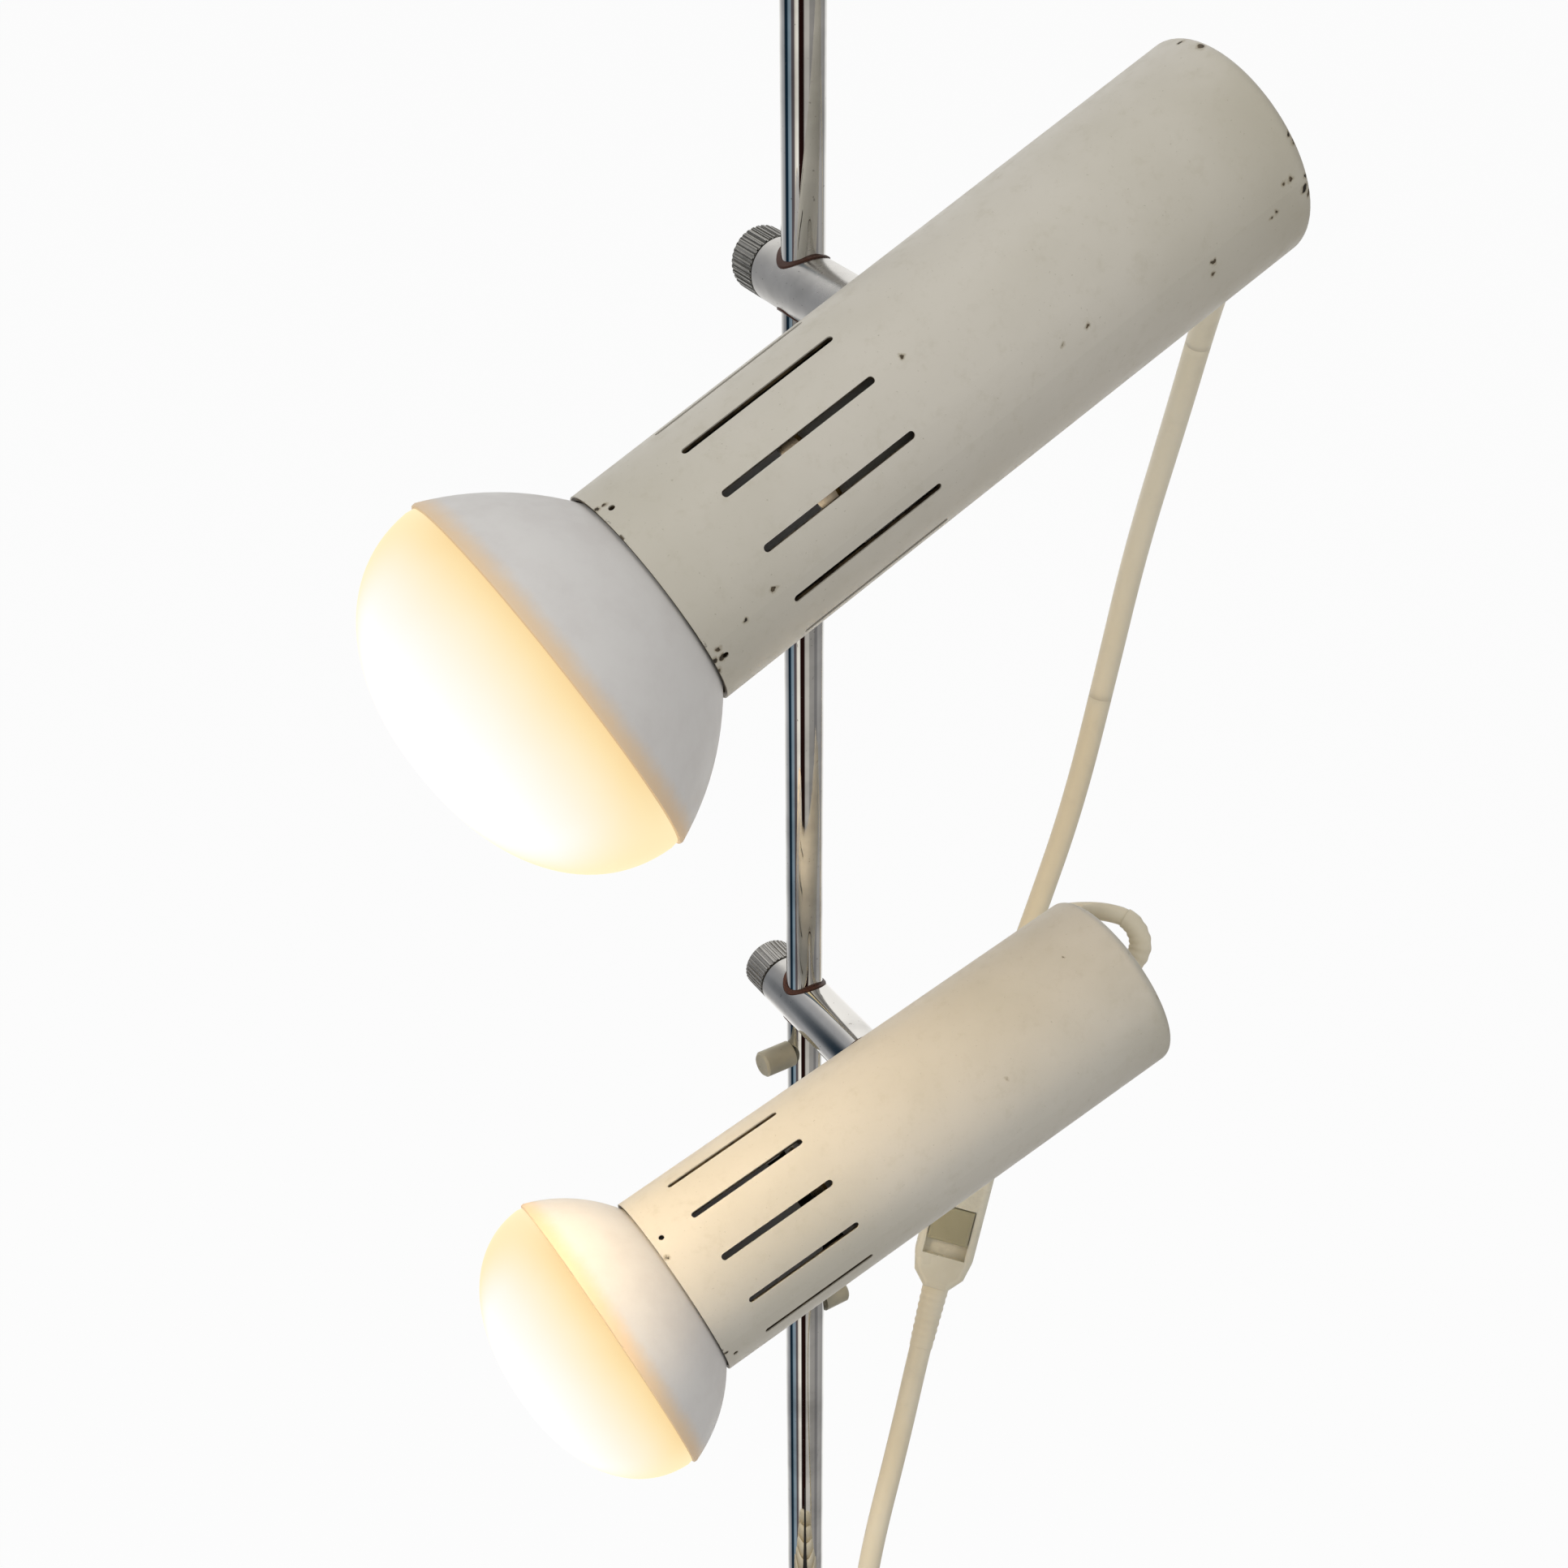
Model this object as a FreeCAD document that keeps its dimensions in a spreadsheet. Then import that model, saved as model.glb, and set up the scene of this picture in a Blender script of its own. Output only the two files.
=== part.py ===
import FreeCAD, Part
import os
import Sketcher
from math import atan2, cos, pi, radians, sin, sqrt, tan
from types import SimpleNamespace

# Tension pole lamp: a telescopic chrome pole wedged between floor and ceiling, with two
# swivelling cylinder spotlights clamped to it, their cords, an in-line switch and a plug.
# Millimetres. The origin is the middle of the floor pad's underside, +Z runs up the pole,
# -Y is the side the lamp is looked at from, and the spotlights point to -X.

Vector = FreeCAD.Vector
doc = FreeCAD.newDocument("tension_pole_lamp")
sheet = doc.addObject("Spreadsheet::Sheet", "sizes")

# ------------------------------------------------------------------ driving dimensions

SIZES = {
    "clearances": {
        "running_clearance": 0.05,
        "seat_clearance": 0.3,
        "screw_clearance": 0.1,
    },
    "pole": {
        "room_height": 2440,
        "outer_tube_diameter": 13.6,
        "outer_tube_wall": 0.6,
        "outer_tube_top": 1097,
        "inner_tube_diameter": 11.2,
        "inner_tube_wall": 1,
        "inner_tube_bottom": 700,
        "inner_tube_top": 2330,
        "guide_bush_length": 26,
        "guide_bush_flange": 1.6,
        "end_plug_guide": 8,
        "end_plug_spigot": 12,
    },
    "floor end": {
        "floor_pad_diameter": 64,
        "floor_pad_thickness": 4,
        "floor_pad_recess": 1.5,
        "foot_diameter": 58,
        "foot_flange_thickness": 5,
        "foot_boss_diameter": 22,
        "foot_height": 34,
        "foot_socket_depth": 26,
        "foot_blend": 9,
        "foot_edge": 2,
    },
    "ceiling end": {
        "ceiling_pad_diameter": 58,
        "ceiling_pad_thickness": 4,
        "ceiling_pad_recess": 1.5,
        "ceiling_cup_diameter": 52,
        "ceiling_cup_flange": 4,
        "ceiling_cup_boss": 16,
        "ceiling_cup_height": 26,
        "ceiling_cup_socket": 20,
        "ceiling_cup_blend": 7,
        "plunger_diameter": 7,
        "plunger_head_length": 8,
        "plunger_head_height": 2230,
        "spring_length": 90,
        "spring_wire": 1,
        "spring_seat_length": 4,
        "spring_seat_bore": 6,
        "top_bush_length": 22,
        "top_bush_flange": 2,
        "top_bush_diameter": 13,
    },
    "pins": {
        "pin_diameter": 8.4,
        "pin_edge": 0.7,
        "pin_reach": 16.2,
        "pin_bearing": 35,
        "pin_shank_diameter": 5,
        "stop_pin_height": 1203.8,
        "stop_pin_root": 2.8,
        "lock_pin_height": 1085.5,
        "lock_pad_thickness": 0.7,
    },
    "clamps": {
        "upper_clamp_height": 1450,
        "lower_clamp_height": 1223.3,
        "upper_pan": 58.45,
        "lower_pan": 57.4,
        "upper_tilt": 26.76,
        "lower_tilt": 18.2,
        "grip_band_wall": 0.4,
        "grip_band_length": 7,
        "clamp_bush_wall": 1.05,
        "clamp_bush_proud": 0.35,
        "barrel_diameter": 16.8,
        "barrel_back": 12.2,
        "barrel_edge": 0.5,
        "knob_gap": 0.6,
        "knob_length": 10.2,
        "knob_edge": 0.9,
        "knob_grooves": 36,
        "knob_groove_depth": 0.35,
        "knob_groove_width": 0.7,
        "clamp_screw_diameter": 5,
        "clamp_pad_length": 1.8,
        "swivel_bore": 10,
        "swivel_bore_back": 9.2,
        "swivel_groove_depth": 1.2,
        "swivel_groove_width": 3.4,
        "swivel_screw_diameter": 3,
        "swivel_screw_place": 17,
        "friction_washer_thickness": 0.8,
        "saddle_thickness": 1.3,
        "shaft_nut_width": 14,
        "shaft_nut_thickness": 3,
        "shaft_end_length": 0.8,
    },
    "heads": {
        "head_offset": 64.4,
        "head_diameter": 56,
        "head_wall": 1.2,
        "head_front": 86.6,
        "upper_head_length": 174.5,
        "lower_head_length": 160.1,
        "head_rear_rounding": 3,
        "slot_count": 12,
        "slot_width": 1.9,
        "upper_slot_start": 22.4,
        "upper_slot_end": 64.2,
        "lower_slot_start": 36.5,
        "lower_slot_end": 73.5,
        "upper_slot_turn": -8.6,
        "lower_slot_turn": -12,
        "rim_hole_count": 4,
        "rim_hole_diameter": 1.6,
        "rim_hole_from_rim": 3,
        "gland_flange_diameter": 14,
        "gland_flange_thickness": 1.2,
        "gland_neck_diameter": 9,
        "gland_nose_length": 0.8,
        "gland_nose_wall": 1.5,
        "holder_diameter": 40,
        "holder_back_diameter": 30,
        "holder_back_length": 9,
        "holder_length": 33,
        "holder_base": 7.6,
        "nipple_diameter": 10,
        "nipple_bore": 7,
        "nipple_length": 12,
        "nipple_flange_diameter": 15,
        "nipple_flange_thickness": 3,
        "bracket_thickness": 1.5,
        "bracket_width": 14,
        "bracket_leg": 14,
        "bracket_bearing": 51,
    },
    "bulbs": {
        "bulb_seam_diameter": 97.4,
        "bulb_length": 138,
        "upper_bulb_reach": 28.6,
        "lower_bulb_reach": 25.8,
        "bulb_dome_depth": 36.9,
        "bulb_edge_radius": 26,
        "bulb_glass": 1,
        "bulb_rim_gap": 0.5,
        "bulb_neck_diameter": 34,
        "bulb_cap_diameter": 26,
        "bulb_cap_length": 26,
        "bulb_cap_cone": 5,
        "bulb_shoulder": 5,
        "bulb_tip_diameter": 9,
        "bulb_tip_length": 2,
    },
    "cords": {
        "cord_diameter": 7.5,
        "lead_diameter": 5.5,
        "coil_radius": 41,
        "coil_turns": 5,
        "coil_step": 8.3,
        "coil_height": 885,
        "tail_length": 70,
        "tie_width": 8,
        "tie_thickness": 1.2,
        "tie_clearance": 0.4,
        "tie_loops_apart": 0.2,
    },
    "switch": {
        "switch_length": 62,
        "switch_width": 20.4,
        "switch_thickness": 16,
        "switch_end_width": 8.4,
        "switch_shoulder_width": 17.2,
        "switch_shoulder_height": 5,
        "switch_taper_height": 12,
        "switch_top_corner": 3,
        "switch_corner": 8,
        "switch_edge": 2.5,
        "slider_width": 14,
        "slider_length": 12,
        "slider_travel": 5,
        "slider_well": 3.5,
        "slider_proud": 1.4,
        "slider_place": 23,
        "slider_edge": 1,
    },
    "plug": {
        "plug_spout_diameter": 10,
        "plug_spout_length": 18,
        "plug_shoulder_length": 9,
        "plug_body_diameter": 35,
        "plug_body_length": 17,
        "plug_edge": 2,
        "plug_blend": 4,
        "plug_carrier_diameter": 26,
        "plug_carrier_depth": 3,
        "plug_pin_diameter": 4.8,
        "plug_pin_length": 19,
        "plug_pin_spacing": 19,
    },
}


class Size:
    """A length with its formula in the sheet, so that geometry and bindings say the same."""

    def __init__(self, value, formula):
        self.value = float(value)
        self.formula = formula

    def join(self, other, sign, value):
        return Size(value, f"({self.formula} {sign} {as_size(other).formula})")

    def __add__(self, other):
        return self.join(other, "+", self.value + as_size(other).value)

    def __sub__(self, other):
        return self.join(other, "-", self.value - as_size(other).value)

    def __mul__(self, other):
        return self.join(other, "*", self.value * as_size(other).value)

    def __truediv__(self, other):
        return self.join(other, "/", self.value / as_size(other).value)

    def __neg__(self):
        return Size(-self.value, f"(0 - {self.formula})")

    def root(self):
        return Size(sqrt(self.value), f"sqrt({self.formula})")


def as_size(number):
    return number if isinstance(number, Size) else Size(number, repr(number))


def fill_sheet():
    """Write every size into the sheet and return them by name."""
    sizes = SimpleNamespace()
    row = 0
    for group, members in SIZES.items():
        row += 1
        sheet.set(f"A{row}", group)
        for alias, number in members.items():
            row += 1
            sheet.set(f"A{row}", alias)
            sheet.set(f"B{row}", str(number))
            sheet.setAlias(f"B{row}", alias)
            setattr(sizes, alias, Size(number, f"sizes.{alias}"))
    doc.recompute()
    return sizes


d = fill_sheet()
parts = {}

# ------------------------------------------------------------------ places


def moved(x=0, y=0, z=0):
    """Formula of a placement that only moves."""
    x, y, z = as_size(x), as_size(y), as_size(z)
    vector = f"create(<<vector>>; {x.formula}; {y.formula}; {z.formula})"
    return f"create(<<placement>>; {vector}; create(<<rotation>>; create(<<vector>>; 0; 0; 1); 0))"


def rotated(axis, angle):
    """Formula of a placement that only turns, in degrees."""
    turn = f"create(<<rotation>>; create(<<vector>>; {axis}); {as_size(angle).formula})"
    return f"create(<<placement>>; create(<<vector>>; 0; 0; 0); {turn})"


def chain(*steps):
    return " * ".join(steps)


AXIS_X = "1; 0; 0"
AXIS_Y = "0; 1; 0"
AXIS_Z = "0; 0; 1"
UP_TO_BARREL = "1; 0; 1"


def pin_place(height, bearing):
    """Local +Z points out of the pole at a bearing from +X."""
    return chain(moved(z=height), rotated(AXIS_Z, bearing), rotated(AXIS_Y, 90))


# ------------------------------------------------------------------ drawing


def new_body(name):
    return doc.addObject("PartDesign::Body", name)


def new_sketch(body, name, plane, turn=None):
    """A sketch on one of the body's own planes, turned about its upright axis."""
    sketch = body.newObject("Sketcher::SketchObject", name)
    support = [item for item in body.Origin.OriginFeatures if item.Role == plane][0]
    sketch.AttachmentSupport = [(support, "")]
    sketch.MapMode = "FlatFace"
    if turn is not None:
        upright = FreeCAD.Rotation(Vector(0, 1, 0), as_size(turn).value)
        sketch.AttachmentOffset = FreeCAD.Placement(Vector(), upright)
        sketch.setExpression("AttachmentOffset", rotated(AXIS_Y, turn))
    return sketch


def bind(sketch, constraint, size):
    index = sketch.addConstraint(constraint)
    if size is not None:
        sketch.setExpression(f"Constraints[{index}]", size.formula)


def pin_point(sketch, geometry, end, x, y):
    """Hold a point at two sizes from the sketch's origin."""
    for size, kind, axis in ((as_size(x), "DistanceX", -2), (as_size(y), "DistanceY", -1)):
        if abs(size.value) < 1e-9:
            bind(sketch, Sketcher.Constraint("PointOnObject", geometry, end, axis), None)
        elif size.value > 0:
            bind(sketch, Sketcher.Constraint(kind, -1, 1, geometry, end, size.value), size)
        else:
            bind(sketch, Sketcher.Constraint(kind, geometry, end, -1, 1, -size.value), -size)


def draw_outline(sketch, points):
    """Closed outline of straight lines through points held by sizes."""
    at = [Vector(as_size(x).value, as_size(y).value, 0) for x, y in points]
    for index, start in enumerate(at):
        sketch.addGeometry(Part.LineSegment(start, at[(index + 1) % len(at)]), False)
    for index in range(len(at)):
        following = (index + 1) % len(at)
        sketch.addConstraint(Sketcher.Constraint("Coincident", index, 2, following, 1))
    for index, (x, y) in enumerate(points):
        pin_point(sketch, index, 1, x, y)


def draw_circle(sketch, x, y, diameter):
    centre = Vector(as_size(x).value, as_size(y).value, 0)
    geometry = sketch.addGeometry(Part.Circle(centre, Vector(0, 0, 1), diameter.value / 2), False)
    bind(sketch, Sketcher.Constraint("Diameter", geometry, diameter.value), diameter)
    pin_point(sketch, geometry, 3, x, y)


def draw_slot(sketch, low, high, width):
    """Upright slot with round ends, centred on the sketch's upright axis."""
    radius = width.value / 2
    flat = Vector(0, 0, 1)
    top = Part.Circle(Vector(0, (high - width / 2).value, 0), flat, radius)
    bottom = Part.Circle(Vector(0, (low + width / 2).value, 0), flat, radius)
    sketch.addGeometry(Part.ArcOfCircle(top, 0, pi), False)
    sketch.addGeometry(Part.ArcOfCircle(bottom, pi, 2 * pi), False)
    for side, start, end in ((1, bottom, top), (-1, top, bottom)):
        across = Vector(side * radius, 0, 0)
        sketch.addGeometry(Part.LineSegment(start.Center + across, end.Center + across), False)
    for first, first_end, second, second_end in ((0, 1, 2, 2), (0, 2, 3, 1), (1, 1, 3, 2), (1, 2, 2, 1)):
        link = Sketcher.Constraint("Tangent", first, first_end, second, second_end)
        sketch.addConstraint(link)
    sketch.addConstraint(Sketcher.Constraint("Equal", 0, 1))
    bind(sketch, Sketcher.Constraint("Radius", 0, radius), width / 2)
    pin_point(sketch, 0, 3, 0, high - width / 2)
    pin_point(sketch, 1, 3, 0, low + width / 2)


def turned(name, outline):
    """A body turned about its own Z axis from (radius, height) points."""
    body = new_body(name)
    sketch = new_sketch(body, name + "_outline", "XZ_Plane")
    draw_outline(sketch, outline)
    feature = body.newObject("PartDesign::Revolution", name + "_turned")
    feature.Profile = sketch
    feature.ReferenceAxis = (sketch, ["V_Axis"])
    feature.Angle = 360
    return body


def cut_through(body, sketch, name, both_ways=False, outward=False):
    """Cut a sketch through the body and make sure that it removed something."""
    doc.recompute()
    before = body.Shape.Volume
    pocket = body.newObject("PartDesign::Pocket", name)
    pocket.Profile = sketch
    pocket.Type = "ThroughAll"
    pocket.Reversed = outward
    if both_ways:
        pocket.SideType = "Symmetric"
    doc.recompute()
    if not body.Shape.Volume < before - 1e-6:
        raise ValueError(name + " cuts nothing")
    return pocket


def side_hole(body, name, height, diameter, bearing):
    """A round hole from the body's axis out through one wall, at a bearing from +X."""
    sketch = new_sketch(body, name + "_circle", "YZ_Plane", as_size(bearing) - 180)
    draw_circle(sketch, 0, height, diameter)
    return cut_through(body, sketch, name)


def repeat_round(body, feature, name, count):
    """Repeat a cut evenly round the body's Z axis."""
    pattern = body.newObject("PartDesign::PolarPattern", name)
    pattern.Originals = [feature]
    pattern.Axis = (feature.Profile[0], ["V_Axis"])
    pattern.Angle = 360
    pattern.Occurrences = int(as_size(count).value)
    if isinstance(count, Size):
        pattern.setExpression("Occurrences", count.formula)
    body.Tip = pattern
    return pattern


def rounded(body, name, radius, wanted):
    """Round the edges of the body's tip that the test picks out."""
    doc.recompute()
    tip = body.Tip
    names = [f"Edge{index + 1}" for index, edge in enumerate(tip.Shape.Edges) if wanted(edge)]
    if not names:
        raise ValueError(name + " finds no edge")
    fillet = body.newObject("PartDesign::Fillet", name)
    fillet.Base = (tip, names)
    fillet.Radius = radius.value
    fillet.setExpression("Radius", radius.formula)
    body.Tip = fillet
    return fillet


def circle_at(radius, height):
    """Test for the round edge at a radius and height on the body's axis."""
    radius, height = as_size(radius).value, as_size(height).value

    def wanted(edge):
        curve = edge.Curve
        if not isinstance(curve, Part.Circle):
            return False
        return abs(curve.Radius - radius) < 1e-4 and abs(curve.Center.z - height) < 1e-4

    return wanted


def cylinder(name, diameter, length, place):
    solid = doc.addObject("Part::Cylinder", name)
    solid.setExpression("Radius", (as_size(diameter) / 2).formula)
    solid.setExpression("Height", as_size(length).formula)
    solid.setExpression("Placement", place)
    return solid


def box(name, across, deep, tall, place):
    """A box standing on its place, centred across and deep."""
    solid = doc.addObject("Part::Box", name)
    for side, size in (("Length", across), ("Width", deep), ("Height", tall)):
        solid.setExpression(side, as_size(size).formula)
    solid.setExpression("Placement", chain(place, moved(-as_size(across) / 2, -as_size(deep) / 2)))
    return solid


def combined(kind, name, base, tool):
    """Part::Cut, Part::Common or Part::Fuse of two objects."""
    result = doc.addObject("Part::" + kind, name)
    result.Base = base
    result.Tool = tool
    return result


def keep(label, item, place=None):
    """Name a finished sub-part and set its place."""
    item.Label = label
    if place is not None:
        item.setExpression("Placement", place)
    parts[label] = item
    return item


def radius_of(diameter, clearance=0):
    return diameter / 2 + clearance


# ------------------------------------------------------------------ pole and its two ends

outer_radius = radius_of(d.outer_tube_diameter)
outer_bore = outer_radius - d.outer_tube_wall
inner_radius = radius_of(d.inner_tube_diameter)
inner_bore = inner_radius - d.inner_tube_wall
foot_seat = d.floor_pad_thickness - d.floor_pad_recess
foot_radius = radius_of(d.foot_diameter)
foot_boss = radius_of(d.foot_boss_diameter)
foot_top = foot_seat + d.foot_height
tube_seat = foot_top - d.foot_socket_depth
cup_top = d.room_height - d.ceiling_pad_thickness + d.ceiling_pad_recess
cup_radius = radius_of(d.ceiling_cup_diameter)
cup_boss = radius_of(d.ceiling_cup_boss)
cup_bottom = cup_top - d.ceiling_cup_height
plunger_radius = radius_of(d.plunger_diameter)
plunger_head_top = d.plunger_head_height + d.plunger_head_length
spring_bottom = d.plunger_head_height - d.spring_length
pin_radius = radius_of(d.pin_diameter)
pin_shank = radius_of(d.pin_shank_diameter)
pin_shank_hole = d.pin_shank_diameter + d.running_clearance * 2
stop_bearing = d.pin_bearing + 180


def dished_pad(name, diameter, thickness, held_diameter, recess):
    """A rubber disc with a shallow seat for the foot or the cup, seat upward."""
    rim = radius_of(diameter)
    seat = radius_of(held_diameter, d.seat_clearance)
    floor = thickness - recess
    outline = [(0, 0), (rim, 0), (rim, thickness), (seat, thickness), (seat, floor), (0, floor)]
    return turned(name, outline)


def make_floor_end():
    pad = dished_pad("floor_pad_body", d.floor_pad_diameter, d.floor_pad_thickness,
                     d.foot_diameter, d.floor_pad_recess)
    keep("floor_pad", pad)
    socket = outer_radius + d.running_clearance
    flange_top = foot_seat + d.foot_flange_thickness
    foot = turned("foot", [
        (0, foot_seat), (foot_radius, foot_seat), (foot_radius, flange_top), (foot_boss, flange_top),
        (foot_boss, foot_top), (socket, foot_top), (socket, tube_seat), (0, tube_seat)])
    rounded(foot, "foot_sweep", d.foot_blend, circle_at(foot_boss, flange_top))
    rounded(foot, "foot_rim", d.foot_edge, circle_at(foot_radius, flange_top))
    keep("floor_foot", foot)


def make_outer_tube():
    low, high = tube_seat, d.outer_tube_top
    tube = turned("outer_tube_body", [
        (outer_bore, low), (outer_radius, low), (outer_radius, high), (outer_bore, high)])
    side_hole(tube, "outer_lock_hole", d.lock_pin_height, pin_shank_hole, d.pin_bearing)
    keep("outer_tube", tube)
    bore = inner_radius + d.running_clearance
    sleeve = outer_bore - d.running_clearance
    flange = high + d.guide_bush_flange
    bottom = high - d.guide_bush_length
    bush = turned("guide_bush_body", [
        (bore, bottom), (sleeve, bottom), (sleeve, high), (outer_radius, high),
        (outer_radius, flange), (bore, flange)])
    side_hole(bush, "bush_lock_hole", d.lock_pin_height, pin_shank_hole, d.pin_bearing)
    keep("guide_bush", bush)


def make_inner_tube():
    low, high = d.inner_tube_bottom, d.inner_tube_top
    seat_bore = radius_of(d.spring_seat_bore)
    seat_bottom = spring_bottom - d.spring_seat_length
    tube = turned("inner_tube_body", [
        (inner_bore, low), (inner_radius, low), (inner_radius, high), (inner_bore, high),
        (inner_bore, spring_bottom), (seat_bore, spring_bottom), (seat_bore, seat_bottom),
        (inner_bore, seat_bottom)])
    side_hole(tube, "stop_pin_hole", d.stop_pin_height, pin_shank_hole, stop_bearing)
    keep("inner_tube", tube)
    guide = outer_bore - d.running_clearance
    spigot = inner_bore - d.running_clearance
    plug = turned("end_plug_body", [
        (0, low - d.end_plug_guide), (guide, low - d.end_plug_guide), (guide, low), (spigot, low),
        (spigot, low + d.end_plug_spigot), (0, low + d.end_plug_spigot)])
    keep("end_plug", plug)


def make_pins():
    """The fixed stop pin under the lower clamp and the screw pin that locks the telescope."""
    tip = d.pin_reach
    edge = d.pin_edge
    root = inner_radius
    pin = turned("stop_pin_body", [
        (0, d.stop_pin_root), (pin_shank, d.stop_pin_root), (pin_shank, root), (pin_radius, root),
        (pin_radius, tip - edge), (pin_radius - edge, tip), (0, tip)])
    keep("stop_pin", pin, pin_place(d.stop_pin_height, stop_bearing))
    pad_start = inner_radius + d.screw_clearance
    pad_end = pad_start + d.lock_pad_thickness
    pad = turned("lock_pad_body", [
        (0, pad_start), (pin_shank, pad_start), (pin_shank, pad_end), (0, pad_end)])
    keep("lock_pad", pad, pin_place(d.lock_pin_height, d.pin_bearing))
    shank_start = pad_end + d.screw_clearance
    root = outer_radius + d.seat_clearance
    tip = tip + d.seat_clearance
    pin = turned("lock_pin_body", [
        (0, shank_start), (pin_shank, shank_start), (pin_shank, root), (pin_radius, root),
        (pin_radius, tip - edge), (pin_radius - edge, tip), (0, tip)])
    keep("lock_pin", pin, pin_place(d.lock_pin_height, d.pin_bearing))


def make_ceiling_end():
    slide = inner_bore - d.running_clearance
    spring_bore = slide - d.spring_wire
    spring_top = d.plunger_head_height
    spring = turned("spring_body", [
        (spring_bore, spring_bottom), (slide, spring_bottom), (slide, spring_top), (spring_bore, spring_top)])
    keep("plunger_spring", spring)
    rod_top = cup_bottom + d.ceiling_cup_socket
    plunger = turned("plunger_body", [
        (0, d.plunger_head_height), (slide, d.plunger_head_height), (slide, plunger_head_top),
        (plunger_radius, plunger_head_top), (plunger_radius, rod_top), (0, rod_top)])
    keep("plunger", plunger)
    top = d.inner_tube_top
    flange = top + d.top_bush_flange
    flange_radius = radius_of(d.top_bush_diameter)
    bore = plunger_radius + d.running_clearance
    bush = turned("top_bush_body", [
        (bore, top - d.top_bush_length), (slide, top - d.top_bush_length), (slide, top),
        (flange_radius, top), (flange_radius, flange), (bore, flange)])
    keep("top_bush", bush)
    flange_under = cup_top - d.ceiling_cup_flange
    cup = turned("cup_body", [
        (bore, cup_bottom), (cup_boss, cup_bottom), (cup_boss, flange_under), (cup_radius, flange_under),
        (cup_radius, cup_top), (0, cup_top), (0, rod_top), (bore, rod_top)])
    rounded(cup, "cup_sweep", d.ceiling_cup_blend, circle_at(cup_boss, flange_under))
    keep("ceiling_cup", cup)
    pad = dished_pad("ceiling_pad_body", d.ceiling_pad_diameter, d.ceiling_pad_thickness,
                     d.ceiling_cup_diameter, d.ceiling_pad_recess)
    keep("ceiling_pad", pad, chain(moved(z=d.room_height), rotated(AXIS_X, 180)))


# ------------------------------------------------------------------ clamps

barrel_radius = radius_of(d.barrel_diameter)
head_radius = radius_of(d.head_diameter)
head_bore = head_radius - d.head_wall
barrel_front = (d.head_offset - head_radius - d.saddle_thickness - d.seat_clearance
                - d.friction_washer_thickness)
band_outer = inner_radius + d.running_clearance + d.grip_band_wall
band_recess = band_outer + d.running_clearance
bush_bore = inner_radius + d.running_clearance
bush_outer = bush_bore + d.clamp_bush_wall
barrel_pole_bore = (bush_outer + d.running_clearance) * 2
screw_radius = radius_of(d.clamp_screw_diameter)
screw_hole = d.clamp_screw_diameter + d.running_clearance * 2
shaft_radius = radius_of(d.swivel_bore, -d.running_clearance)
nut_corner = d.shaft_nut_width / sqrt(3)
nut_seat = d.head_offset - (head_bore * head_bore - nut_corner * nut_corner).root() + d.running_clearance
nut_end = nut_seat + d.shaft_nut_thickness
shaft_end = nut_end + d.shaft_end_length
pad_tip = band_outer + d.screw_clearance
pad_back = pad_tip + d.clamp_pad_length
knob_face = d.barrel_back + d.knob_gap
knob_end = knob_face + d.knob_length


def pole_side(lamp):
    """Frame with +Z up the pole and +X along the lamp's barrel."""
    return chain(moved(z=lamp.height), rotated(AXIS_Z, -lamp.pan))


def barrel_side(lamp):
    """Frame with +Z along the barrel away from the pole and +X up."""
    return chain(pole_side(lamp), rotated(UP_TO_BARREL, 180))


def head_side(lamp):
    """Frame of the spotlight: origin on its axis at the swivel, +Z out of its open end."""
    return chain(pole_side(lamp), moved(x=d.head_offset), rotated(AXIS_X, lamp.tilt + 90))


def swivel_side(lamp):
    """Frame that tilts with the spotlight, +Z along the barrel from the pole's axis."""
    return chain(head_side(lamp), moved(x=-d.head_offset), rotated(AXIS_Y, 90))


def make_clamp(lamp):
    name = lamp.name
    half = d.grip_band_length / 2
    band = turned(name + "_band_body", [
        (bush_bore, -half), (band_outer, -half), (band_outer, half), (bush_bore, half)])
    keep(name + "_grip_band", band, pole_side(lamp))
    make_clamp_bush(lamp)
    make_barrel(lamp)
    pad = turned(name + "_pad_body", [
        (0, -pad_back), (screw_radius, -pad_back), (screw_radius, -pad_tip), (0, -pad_tip)])
    keep(name + "_clamp_pad", pad, barrel_side(lamp))
    make_knob(lamp)
    make_swivel(lamp)


def make_clamp_bush(lamp):
    """Brown bush through the barrel, with its ends following the barrel's round back."""
    name = lamp.name
    end = d.barrel_diameter
    recess = d.grip_band_length / 2 + d.screw_clearance
    bush = turned(name + "_bush_body", [
        (bush_bore, -end), (bush_outer, -end), (bush_outer, end), (bush_bore, end),
        (bush_bore, recess), (band_recess, recess), (band_recess, -recess), (bush_bore, -recess)])
    side_hole(bush, name + "_bush_screw_hole", 0, screw_hole, 180)
    length = d.barrel_diameter * 2
    place = chain(moved(x=-d.barrel_diameter), rotated(AXIS_Y, 90))
    saddle_cut = cylinder(name + "_bush_ends", d.barrel_diameter + d.clamp_bush_proud * 2, length, place)
    trimmed = combined("Common", name + "_bush", bush, saddle_cut)
    keep(name + "_clamp_bush", trimmed, pole_side(lamp))


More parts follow.
